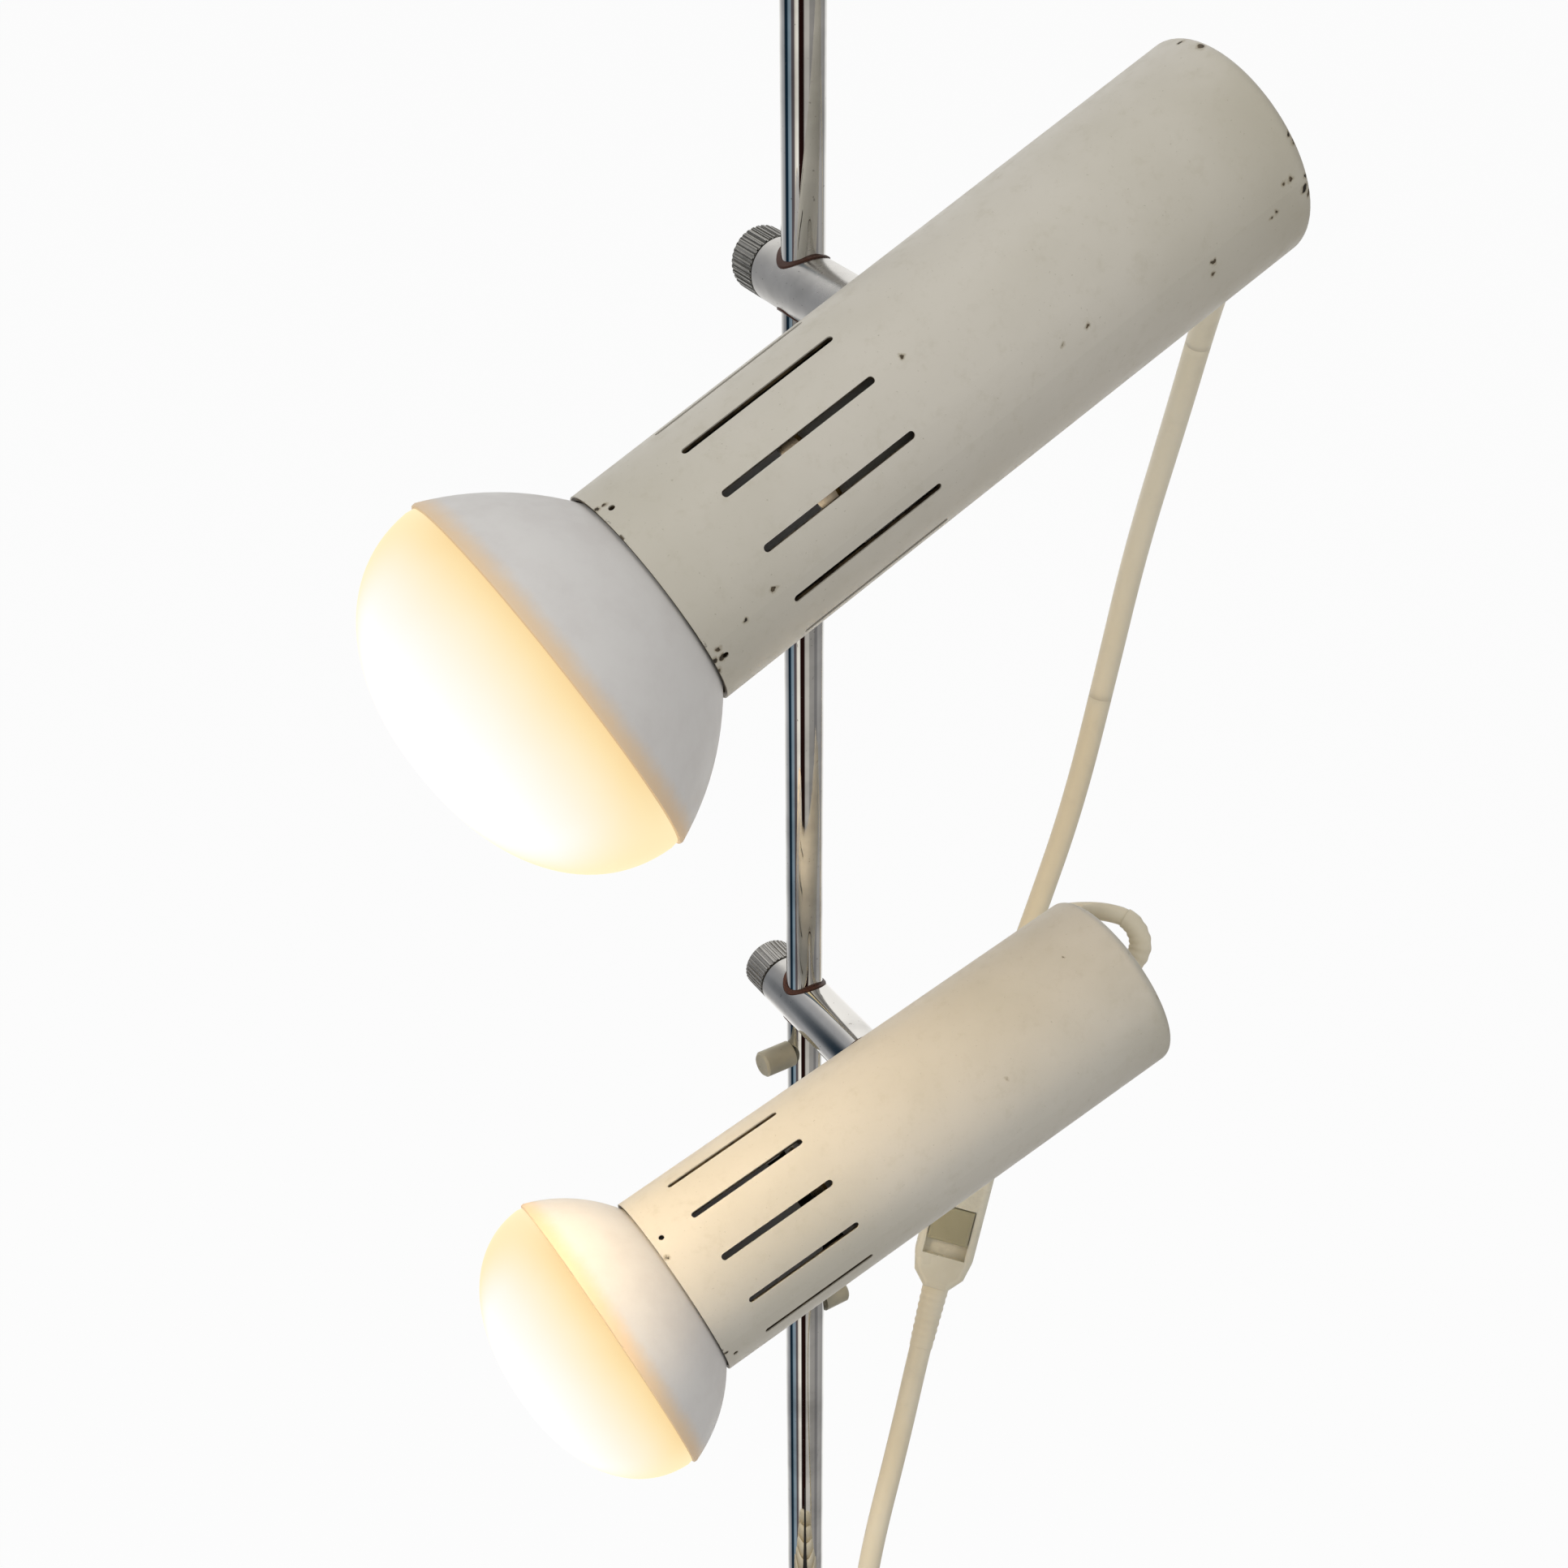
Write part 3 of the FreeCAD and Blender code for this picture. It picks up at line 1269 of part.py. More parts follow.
make_floor_end()
make_outer_tube()
make_inner_tube()
make_pins()
make_ceiling_end()
for spotlight in (UPPER, LOWER):
    make_clamp(spotlight)
    make_head(spotlight)
    make_lampholder(spotlight)
    make_bulb(spotlight)
make_switch()
make_cords()

doc.recompute()
for item in doc.Objects:
    if "Invalid" in item.State or "Error" in item.State:
        raise ValueError(f"{item.Label} failed: {item.State}")
for label, item in parts.items():
    if item.Shape.isNull() or not item.Shape.isValid():
        raise ValueError(f"{label} has no valid shape")

os.makedirs("parts", exist_ok=True)
for label, item in parts.items():
    item.Shape.exportStep(os.path.join("parts", label + ".step"))
print(len(parts), "sub-parts")
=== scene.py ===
import math

import bpy
from mathutils import Matrix, Vector


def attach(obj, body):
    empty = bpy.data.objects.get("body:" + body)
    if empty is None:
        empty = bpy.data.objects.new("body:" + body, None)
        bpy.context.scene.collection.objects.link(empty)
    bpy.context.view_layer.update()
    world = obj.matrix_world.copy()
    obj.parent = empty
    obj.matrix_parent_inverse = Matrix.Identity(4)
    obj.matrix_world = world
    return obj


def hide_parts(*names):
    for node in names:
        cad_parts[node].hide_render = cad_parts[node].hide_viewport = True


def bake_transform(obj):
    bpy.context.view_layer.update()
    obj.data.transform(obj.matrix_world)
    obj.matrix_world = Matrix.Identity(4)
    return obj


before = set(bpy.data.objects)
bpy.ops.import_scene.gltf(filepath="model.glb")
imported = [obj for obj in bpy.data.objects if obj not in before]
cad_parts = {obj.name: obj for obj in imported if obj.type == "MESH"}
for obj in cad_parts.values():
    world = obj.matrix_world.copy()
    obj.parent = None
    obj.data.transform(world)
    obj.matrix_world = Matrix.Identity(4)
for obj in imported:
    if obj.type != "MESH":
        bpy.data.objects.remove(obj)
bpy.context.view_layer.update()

MM = 0.001
SHELL_RADIUS = 28
PIVOT_OFFSET = 64.4


def mm(x, y, z):
    """Point given in millimetres, in metres."""
    return Vector((x, y, z)) * MM


# ---------------------------------------------------------------- camera

def make_camera():
    """Looks 36 degrees down, with the photograph's slight roll and off-centre crop."""
    pitch, roll = 0.6332, 0.0145
    place = (0.014087, -0.52299, 1.63167)
    forward = Vector((0, math.cos(pitch), -math.sin(pitch)))
    level_up = Vector((0, math.sin(pitch), math.cos(pitch)))
    right = Vector((1, 0, 0)) * math.cos(roll) + level_up * math.sin(roll)
    up = level_up * math.cos(roll) - Vector((1, 0, 0)) * math.sin(roll)
    data = bpy.data.cameras.new("camera")
    data.sensor_width, data.lens = 36, 48.59
    data.shift_x, data.shift_y = -0.0423, 0.0973
    data.clip_start, data.clip_end = 0.02, 60
    camera = bpy.data.objects.new("camera", data)
    turn = Matrix((right, up, -forward)).transposed().to_4x4()
    camera.matrix_world = Matrix.Translation(place) @ turn
    bpy.context.scene.collection.objects.link(camera)
    bpy.context.scene.camera = camera


# ---------------------------------------------------------------- the two spotlights' frames

class Lamp:
    """Axes of a spotlight: barrel across, beam forward, and up square to both.

    Lengths are in mm, and rear, seam and dome run along the beam: from the pivot back to the
    shell's end, on to the bulb's seam, and from the seam to the tip of the bulb.
    """

    def __init__(self, name, height, pan, tilt, rear, seam, front_radius, dome, cord):
        pan, tilt = math.radians(pan), math.radians(tilt)
        self.name, self.rear, self.cord = name, rear, cord
        self.barrel = Vector((math.cos(pan), -math.sin(pan), 0))
        self.beam = Vector((-math.sin(pan) * math.cos(tilt), -math.cos(pan) * math.cos(tilt),
                            -math.sin(tilt)))
        self.up = self.beam.cross(self.barrel)
        self.clamp = mm(0, 0, height)
        self.pivot = self.barrel * PIVOT_OFFSET * MM + self.clamp
        self.seam, self.front_radius, self.dome = seam, front_radius, dome

    def at(self, along, bearing=0.0, radius=0.0):
        """Point so far along the beam, at a bearing and radius round it, in mm and degrees."""
        turn = math.radians(bearing)
        out = self.barrel * math.cos(turn) + self.up * math.sin(turn)
        return self.pivot + (self.beam * along + out * radius) * MM


UPPER = Lamp("upper", height=1450, pan=58.45, tilt=26.76, rear=87.9, seam=115, front_radius=47.2,
             dome=36.2, cord=7.5)
LOWER = Lamp("lower", height=1223.3, pan=57.4, tilt=18.2, rear=73.5, seam=108.5, front_radius=43.3,
             dome=30.5, cord=5.5)


# ---------------------------------------------------------------- cords

def nurbs_line(points):
    """Smooth line of a NURBS spline with these control points."""
    curve = bpy.data.curves.new("route", "CURVE")
    curve.dimensions = "3D"
    spline = curve.splines.new("NURBS")
    spline.points.add(len(points) - 1)
    for point, place in zip(spline.points, points):
        point.co = (*place, 1)
    spline.order_u = 3
    spline.use_endpoint_u = True
    spline.resolution_u = 14
    holder = bpy.data.objects.new("route", curve)
    bpy.context.scene.collection.objects.link(holder)
    bpy.context.view_layer.update()
    line = bpy.data.meshes.new_from_object(holder)
    found = [vertex.co.copy() for vertex in line.vertices]
    bpy.data.objects.remove(holder)
    bpy.data.curves.remove(curve)
    bpy.data.meshes.remove(line)
    return found


def framed(line):
    """Each point of a line with two directions square to it that turn as little as they can."""
    stations = []
    side = None
    for index, point in enumerate(line):
        before, after = line[max(index - 1, 0)], line[min(index + 1, len(line) - 1)]
        way = (after - before).normalized()
        if side is None:
            side = way.orthogonal().normalized()
        side = (side - way * side.dot(way)).normalized()
        stations.append((point, side, way.cross(side)))
    return stations


def distances(stations):
    """How far along the line each station is."""
    found = [0.0]
    for here, there in zip(stations, stations[1:]):
        found.append(found[-1] + (there[0] - here[0]).length)
    return found


def tube(name, stations, radii, sides=24):
    """Closed tube round the stations, with one radius for all or one for each."""
    if isinstance(radii, float):
        radii = [radii] * len(stations)
    points, faces = [], []
    for (centre, side, across), radius in zip(stations, radii):
        for step in range(sides):
            turn = 2 * math.pi * step / sides
            points.append(centre + side * radius * math.cos(turn)
                          + across * radius * math.sin(turn))
    for ring in range(len(stations) - 1):
        for step in range(sides):
            here, beside = ring * sides + step, ring * sides + (step + 1) % sides
            faces.append((here, beside, beside + sides, here + sides))
    faces.append(tuple(reversed(range(sides))))
    faces.append(tuple(range(len(points) - sides, len(points))))
    mesh = bpy.data.meshes.new(name)
    mesh.from_pydata(points, [], faces)
    mesh.polygons.foreach_set("use_smooth", [True] * (len(faces) - 2) + [False, False])
    piece = bpy.data.objects.new(name, mesh)
    bpy.context.scene.collection.objects.link(piece)
    return piece


def relief(name, stations, first, last, body):
    """Tapered, ribbed strain relief round these stations, from one radius in mm to the other."""
    rib_height, rib_pitch = 0.12 * MM, 2.6 * MM
    total = distances(stations)[-1]
    radii = []
    for at in distances(stations):
        share = at / total
        ribbed = 0.12 < share < 0.9
        rib = rib_height * math.cos(2 * math.pi * at / rib_pitch) if ribbed else 0.0
        radii.append((first + (last - first) * share) * MM + rib)
    piece = tube(name, stations, radii, 32)
    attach(piece, body)
    return piece


def fine_stretch(stations, length, step=0.45 * MM):
    """The start of a line, resampled finely enough for ribs."""
    places = distances(stations)
    found, index = [], 0
    count = int(length / step)
    for number in range(count + 1):
        at = length * number / count
        while index < len(places) - 2 and places[index + 1] < at:
            index += 1
        share = (at - places[index]) / (places[index + 1] - places[index])
        found.append(stations[index][0].lerp(stations[index + 1][0], share))
    return framed(found)


SWITCH_UP = Vector((0.23, 0.52, 0.82)).normalized()
SWITCH_FOOT = mm(45.4, -5.2, 1103)
SWITCH_TOP = {"upper": mm(56.4, 27.8, 1154.4), "lower": mm(64.0, 26.2, 1153.3)}
GLAND_RUN = 5

# Control points between a gland and the switch, and between the switch and the coil, in mm.
UPPER_ROUTE = [
    (110.6, -5.5, 1488.4), (112, 3.6, 1480.5), (112.2, 16.5, 1469), (112.5, 35.7, 1451.8),
    (112, 62, 1422), (108, 69, 1390), (101, 78, 1342), (95, 76, 1298), (87, 66, 1255),
    (76, 55, 1218), (65, 44, 1185),
]
LOWER_ROUTE = [
    (102.2, -10.2, 1254), (98.6, -5.8, 1260.2), (90.6, -2, 1260.2), (83.6, 6, 1254.5),
    (80, 18, 1245), (78.5, 28, 1229.5), (75.5, 34.5, 1210), (71.5, 36.5, 1189),
]
MAIN_ROUTE = [
    (33.5, -36, 1059), (24.3, -57.2, 1025.8), (21, -67, 998), (24.5, -69.5, 968),
    (32.5, -63.5, 941),
]
COIL_TURNS, COIL_RADIUS, COIL_PITCH = 5, 41, 8.3
COIL_START_Y, COIL_HEIGHT = -54.25, 885


def make_lead(lamp, route, gland_end, cuts):
    """Lead of a spotlight in three lengths.

    The lead is cut at these shares of its length.
    """
    start = lamp.at(-gland_end)
    end = SWITCH_TOP[lamp.name]
    points = [start, start - lamp.beam * GLAND_RUN * MM] + [mm(*point) for point in route]
    points += [end + SWITCH_UP * 14 * MM, end]
    stations = framed(nurbs_line(points))
    places = distances(stations)
    total = places[-1]
    marks = [min(range(len(places)), key=lambda i: abs(places[i] - total * cut)) for cut in cuts]
    marks = [0] + marks + [len(stations) - 1]
    pieces = []
    for index, (low, high) in enumerate(zip(marks, marks[1:])):
        part = stations[low:high + 1]
        piece = tube(f"{lamp.name}_lead_{index + 1}", part, lamp.cord / 2 * MM)
        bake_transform(piece)
        pieces.append(piece)
    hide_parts(lamp.name + "_cord")
    sleeve = fine_stretch(stations, 21 * MM)
    pieces.append(relief(lamp.name + "_lead_relief", sleeve, lamp.cord / 2 + 0.9,
                         lamp.cord / 2 + 0.3, lamp.name + "_head"))
    return pieces


def make_mains_lead():
    """Flex from the switch down to its coil on the pole, and on to the plug."""
    points = [SWITCH_FOOT, SWITCH_FOOT - SWITCH_UP * 21 * MM] + [mm(*point) for point in MAIN_ROUTE]
    coil_start = mm(COIL_RADIUS, COIL_START_Y, COIL_HEIGHT + 7.5)
    points += [coil_start + mm(0, 0, 21), coil_start]
    steps = 16
    spread = COIL_RADIUS / math.cos(math.pi / steps)
    for index in range(1, COIL_TURNS * steps):
        turn = -2 * math.pi * index / steps
        points.append(mm(spread * math.cos(turn), COIL_START_Y + COIL_PITCH * index / steps,
                         COIL_HEIGHT + spread * math.sin(turn)))
    leaving = mm(COIL_RADIUS, COIL_START_Y + COIL_PITCH * COIL_TURNS, COIL_HEIGHT)
    drops = ((0, 0, 3), (0, 0, -21), (-5, -3, -45.5), (-6, -6, -70))
    points += [leaving + mm(*drop) for drop in drops]
    stations = framed(nurbs_line(points))
    line = [station[0] for station in stations]
    piece = tube("mains_lead", stations, 3.75 * MM)
    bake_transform(piece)
    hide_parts("main_cord", "cord_coil")
    foot = relief("switch_relief", fine_stretch(stations, 22 * MM), 4.6, 3.95, "inner_pole")
    plug_end = relief("plug_relief", fine_stretch(framed(line[::-1]), 20 * MM), 5.4, 4.1,
                      "outer_pole")
    return [piece, foot, plug_end]


# ---------------------------------------------------------------- bulbs

def turned(name, lamp, profile, body, sides=112):
    """Closed piece turned round the beam, from points along it and their radii, in mm."""
    points, faces = [], []
    for along, radius in profile:
        for step in range(sides):
            points.append(lamp.at(along, 360 * step / sides, radius))
    for ring in range(len(profile) - 1):
        for step in range(sides):
            here, beside = ring * sides + step, ring * sides + (step + 1) % sides
            faces.append((here, here + sides, beside + sides, beside))
    faces.append(tuple(range(sides)))
    faces.append(tuple(reversed(range(len(points) - sides, len(points)))))
    mesh = bpy.data.meshes.new(name)
    mesh.from_pydata(points, [], faces)
    mesh.polygons.foreach_set("use_smooth", [True] * len(faces))
    mesh.set_sharp_from_angle(angle=math.radians(40))
    piece = bpy.data.objects.new(name, mesh)
    bpy.context.scene.collection.objects.link(piece)
    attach(piece, body)
    return piece


def make_bulb(lamp):
    """Reflector bulb: straight neck, full coated cone with a rolled lip, and a soft domed front."""
    rim, rim_radius, bulge = 86.4, 26.1, 2.3
    steps = 12
    run, rise = lamp.seam - rim, lamp.front_radius - rim_radius
    chord = math.hypot(run, rise)
    profile = [(46, 0.2), (46, 16), (48, 17), (75.5, 17), (80.8, 20.7)]
    for step in range(steps + 1):
        share = step / steps
        out = bulge * 4 * share * (1 - share)
        profile.append((rim + run * share - rise / chord * out,
                        rim_radius + rise * share + run / chord * out))
    profile += [(lamp.seam + 0.7, lamp.front_radius - 0.1),
                (lamp.seam + 1.0, lamp.front_radius - 0.7), (lamp.seam + 0.9, 0.2)]
    body = lamp.name + "_head"
    cone = turned(lamp.name + "_bulb_cone", lamp, profile, body)
    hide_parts(lamp.name + "_bulb_reflector")
    fullness, lap = 2.2, 0.4
    front = [(lamp.seam + lap, 0.2), (lamp.seam + lap, lamp.front_radius - 0.9)]
    for step in range(1, 30):
        turn = math.pi / 2 * step / 29.5
        depth = math.sin(turn) ** (2 / fullness)
        front.append((lamp.seam + lap + (lamp.dome - lap) * depth,
                      (lamp.front_radius - 0.5) * math.cos(turn) ** (2 / fullness)))
    dome = turned(lamp.name + "_bulb_front", lamp, front, body)
    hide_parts(lamp.name + "_bulb_lens")


# ---------------------------------------------------------------- materials

def linear(red, green, blue):
    """Colour written as it looks on a screen, 0 to 255, as scene-linear RGBA."""
    values = [channel / 255 for channel in (red, green, blue)]
    levels = [v / 12.92 if v <= 0.04045 else ((v + 0.055) / 1.055) ** 2.4 for v in values]
    return (*levels, 1.0)


class Material:
    """Node material with short calls for the nodes that are used here."""

    def __init__(self, name):
        self.made = bpy.data.materials.new(name)
        self.made.use_nodes = True
        self.tree = self.made.node_tree
        self.shader = self.tree.nodes["Principled BSDF"]
        self.place = self.node("ShaderNodeTexCoord").outputs["Object"]

    def node(self, kind, **settings):
        node = self.tree.nodes.new(kind)
        for key, value in settings.items():
            setattr(node, key, value)
        return node

    def put(self, socket, value):
        if isinstance(value, bpy.types.NodeSocket):
            self.tree.links.new(value, socket)
        else:
            socket.default_value = value

    def set(self, **values):
        names = {"color": "Base Color", "metal": "Metallic", "rough": "Roughness",
                 "normal": "Normal", "glow": "Emission Color", "glow_strength": "Emission Strength",
                 "coat": "Coat Weight", "coat_rough": "Coat Roughness",
                 "specular": "Specular IOR Level"}
        for key, value in values.items():
            self.put(self.shader.inputs[names[key]], value)

    def math(self, operation, first, second=0.0):
        node = self.node("ShaderNodeMath", operation=operation)
        self.put(node.inputs[0], first)
        self.put(node.inputs[1], second)
        return node.outputs[0]

    def vector(self, operation, first, second):
        node = self.node("ShaderNodeVectorMath", operation=operation)
        self.put(node.inputs[0], first)
        self.put(node.inputs[1], second)
        return node.outputs["Value" if operation in ("DOT_PRODUCT", "DISTANCE") else "Vector"]

    def scaled(self, factors):
        return self.vector("MULTIPLY", self.place, factors)

    def noise(self, scale, detail=3.0, rough=0.5, place=None):
        node = self.node("ShaderNodeTexNoise")
        self.put(node.inputs["Vector"], place or self.place)
        node.inputs["Scale"].default_value = scale
        node.inputs["Detail"].default_value = detail
        node.inputs["Roughness"].default_value = rough
        return node.outputs[0]

    def noise_color(self, scale):
        node = self.node("ShaderNodeTexNoise")
        self.put(node.inputs["Vector"], self.place)
        node.inputs["Scale"].default_value = scale
        node.inputs["Detail"].default_value = 2
        return node.outputs["Color"]

    def ramp(self, value, *stops):
        node = self.node("ShaderNodeValToRGB")
        self.put(node.inputs[0], value)
        elements = node.color_ramp.elements
        elements[0].position, elements[0].color = stops[0]
        elements[1].position, elements[1].color = stops[-1]
        for position, color in stops[1:-1]:
            elements.new(position).color = color
        return node.outputs[0]

    def between(self, value, low, high, to_low=0.0, to_high=1.0, smooth=True):
        kind = "SMOOTHSTEP" if smooth else "LINEAR"
        node = self.node("ShaderNodeMapRange", interpolation_type=kind)
        for key, number in (("Value", value), ("From Min", low), ("From Max", high),
                            ("To Min", to_low), ("To Max", to_high)):
            self.put(node.inputs[key], number)
        return node.outputs[0]

    def mix(self, share, first, second):
        node = self.node("ShaderNodeMix", data_type="RGBA")
        self.put(node.inputs[0], share)
        self.put(node.inputs[6], first)
        self.put(node.inputs[7], second)
        return node.outputs[2]

    def bump(self, height, strength, distance=0.001):
        node = self.node("ShaderNodeBump")
        node.inputs["Strength"].default_value = strength
        node.inputs["Distance"].default_value = distance
        self.put(node.inputs["Height"], height)
        return node.outputs[0]


def metal(name, color, rough, pits, grain=(500, 500, 12), grain_strength=0.06, shine=1.0):
    """Plated or brushed metal with drawing lines, dulled patches and pits."""
    made = Material(name)
    lines = made.noise(1.0, 4, 0.6, made.scaled(grain))
    patches = made.noise(35, 4, 0.6)
    spots = made.between(made.noise(900, 2, 0.5), 0.70, 0.76, 0.0, pits)
    dull = linear(*[channel * 0.82 for channel in color])
    shade = made.mix(made.between(patches, 0.35, 0.75), linear(*color), dull)
    made.set(color=made.mix(spots, shade, linear(70, 52, 38)), metal=shine,
             rough=made.math("ADD", made.between(patches, 0.3, 0.8, rough, rough + 0.06),
                             made.math("MULTIPLY", spots, 0.5)),
             normal=made.bump(made.math("SUBTRACT", lines, spots), grain_strength, 0.0002))
    return made.made


def knurled(name, lamp, ridges, depth, color):
    """Steel knob with straight knurls round the barrel's axis, painted shade darkening the knurls'
    valleys, and a bright end.
    """
    made = Material(name)
    away = made.vector("SUBTRACT", made.place, tuple(lamp.clamp))
    high = made.vector("DOT_PRODUCT", away, (0, 0, 1))
    side = made.vector("DOT_PRODUCT", away, tuple(lamp.barrel.cross(Vector((0, 0, 1)))))
    turn = made.math("ARCTAN2", side, high)
    wave = made.math("SINE", made.math("MULTIPLY", turn, ridges))
    squares = made.math("ADD", made.math("POWER", side, 2), made.math("POWER", high, 2))
    reach = made.math("SQRT", squares)
    rim = made.between(reach, 0.0080, 0.0084)
    ridge = made.math("MULTIPLY", wave, rim)
    grime_and_rear_shade = made.noise(260, 4, 0.6)
    # Painted shade: the valleys between the knurls are darkened towards near-black.
    valley_painted_shade = made.math("MULTIPLY", made.between(wave, -1.0, 0.2, 1.0, 0.0), rim)
    shade = made.mix(made.math("MULTIPLY", valley_painted_shade, depth), linear(*color), linear(38, 36, 32))
    shade = made.mix(made.between(grime_and_rear_shade, 0.55, 0.8, 0.0, 0.5), shade, linear(88, 84, 74))
    made.set(color=shade, metal=0.9, rough=made.between(grime_and_rear_shade, 0.3, 0.7, 0.28, 0.45),
             normal=made.bump(ridge, depth, 0.0004))
    return made.made


def plastic(name, color, shade, rough, grain=700, bump=0.12, stretch_z=1.0, coat=0.0,
            dirt=0.4):
    """Moulded plastic with handling marks, slight yellowing and a fine grain."""
    made = Material(name)
    cloud = made.noise(28, 4, 0.6, made.scaled((1, 1, stretch_z)))
    fine = made.noise(grain, 3, 0.6)
    smudge = made.between(made.noise(90, 5, 0.7), 0.5, 0.8, 0.0, dirt)
    body = made.mix(made.between(cloud, 0.3, 0.7), linear(*color), linear(*shade))
    handled = linear(*[channel * 0.72 for channel in shade])
    made.set(color=made.mix(smudge, body, handled), coat=coat, coat_rough=0.25,
             rough=made.between(cloud, 0.3, 0.7, rough - 0.05, rough + 0.08),
             normal=made.bump(fine, bump, 0.0002))
    return made.made


def head_paint(lamp, chips, wear):
    """Aged enamel outside with painted shade towards the rear, worn brown edges and an inside
    painted near-black as shade, with each chip in its place.
    """
    made = Material(lamp.name + "_enamel")
    away = made.vector("SUBTRACT", made.place, tuple(lamp.pivot))
    along = made.math("MULTIPLY", made.vector("DOT_PRODUCT", away, tuple(lamp.beam)), 1000)
    side = made.math("MULTIPLY", made.vector("DOT_PRODUCT", away, tuple(lamp.barrel)), 1000)
    high = made.math("MULTIPLY", made.vector("DOT_PRODUCT", away, tuple(lamp.up)), 1000)
    squares = made.math("ADD", made.math("POWER", side, 2), made.math("POWER", high, 2))
    radius = made.math("SQRT", squares)
    blotch = made.noise(16, 5, 0.55)
    fine = made.noise(240, 5, 0.7)
    dust = made.noise(1400, 2, 0.5)
    paint = made.mix(made.between(blotch, 0.35, 0.68), linear(212, 206, 193),
                     linear(203, 197, 182))
    paint = made.mix(made.between(fine, 0.5, 0.8, 0.0, 0.25), paint, linear(178, 170, 146))
    specks = made.between(dust, 0.70, 0.78, 0.0, 0.45)
    paint = made.mix(specks, paint, linear(150, 142, 118))
    # Painted shade: the enamel darkens, in blotches, over the last 26 mm towards the rear end.
    rear_shade_ramp = made.between(along, -lamp.rear + 26, -lamp.rear, 0.0, 0.35)
    grime_and_rear_shade = made.math("MULTIPLY", made.between(blotch, 0.4, 0.7), rear_shade_ramp)
    paint = made.mix(grime_and_rear_shade, paint, linear(168, 160, 136))
    jitter = made.vector("SUBTRACT", made.noise_color(520), (0.5, 0.5, 0.5))
    shake = made.vector("MULTIPLY", jitter, (0.0022, 0.0022, 0.0022))
    shaken = made.vector("ADD", made.place, shake)
    nearest = None
    for place, bearing, size in chips:
        apart = made.vector("DISTANCE", shaken, tuple(lamp.at(place, bearing, SHELL_RADIUS)))
        gap = made.math("SUBTRACT", apart, size * MM)
        nearest = gap if nearest is None else made.math("MINIMUM", nearest, gap)
    chip = made.between(nearest, -0.0001, 0.00015, 1.0, 0.0)
    halo = made.between(nearest, 0.0, 0.0007, 0.55, 0.0)
    paint = made.mix(halo, paint, linear(150, 136, 104))
    bare = made.mix(made.between(fine, 0.4, 0.6), linear(34, 28, 22), linear(92, 80, 62))
    rear_edge = made.between(along, -lamp.rear + 0.5, -lamp.rear + 1.5, 1.0, 0.0)
    front_edge = made.between(along, 85.9, 86.45)
    edges = made.math("MULTIPLY", made.math("MAXIMUM", rear_edge, front_edge),
                      made.between(radius, 27.0, 27.5))
    worn = made.math("MULTIPLY", edges, made.between(made.noise(150, 4, 0.7), wear, wear + 0.05))
    chip = made.math("MAXIMUM", chip, worn)
    paint = made.mix(chip, paint, bare)
    outside = made.math("MAXIMUM", made.between(radius, 27.55, 27.75),
                        made.between(along, -lamp.rear + 2.2, -lamp.rear + 2.4, 1.0, 0.0))
    wall = made.mix(made.between(fine, 0.4, 0.6), linear(104, 88, 62), linear(58, 47, 34))
    # Painted shade: the shell's inside is near-black, as the closed tube is dark inside; the cut
    # walls of the slots are worn brown.
    inner = made.mix(made.between(radius, 26.7, 26.95), linear(16, 14, 12), wall)
    relief_height = made.math("SUBTRACT", made.math("MULTIPLY", fine, 0.5), chip)
    made.set(color=made.mix(outside, inner, paint),
             rough=made.math("ADD", made.between(fine, 0.3, 0.7, 0.36, 0.5),
                             made.math("MULTIPLY", chip, 0.2)),
             specular=0.4, normal=made.bump(relief_height, 0.22, 0.0004))
    return made.made


def lit_lens(lamp):
    """Frosted front of the lit bulb: white in the middle, warm towards its seam."""
    made = Material(lamp.name + "_lens")
    away = made.vector("SUBTRACT", made.place, tuple(lamp.at(lamp.seam)))
    depth = made.math("MULTIPLY", made.vector("DOT_PRODUCT", away, tuple(lamp.beam)), 1000)
    frost = made.noise(45, 3, 0.5)
    drift = made.math("MULTIPLY", made.math("SUBTRACT", frost, 0.5), 3.0)
    uneven = made.math("ADD", depth, drift)
    tint = made.ramp(made.between(uneven, -0.5, 24, smooth=False),
                     (0.0, linear(236, 205, 160)), (0.07, linear(250, 218, 160)),
                     (0.2, linear(253, 228, 176)), (0.42, linear(254, 239, 204)),
                     (0.75, linear(255, 250, 236)), (1.0, (1, 1, 1, 1)))
    core = tuple(lamp.at(lamp.seam + lamp.dome * 0.38, 43, lamp.front_radius * 0.62))
    away_from_core = made.math("MULTIPLY", made.vector("DISTANCE", made.place, core), 1000)
    edge = made.between(away_from_core, lamp.front_radius * 0.66, lamp.front_radius * 1.02, 0.0,
                        0.95)
    tint = made.mix(edge, tint, linear(253, 234, 186))
    made.set(color=linear(30, 29, 26), specular=0.2,
             rough=made.between(frost, 0.3, 0.7, 0.5, 0.6), glow=tint, glow_strength=1.0,
             normal=made.bump(made.noise(900, 2, 0.5), 0.1, 0.0002))
    return made.made


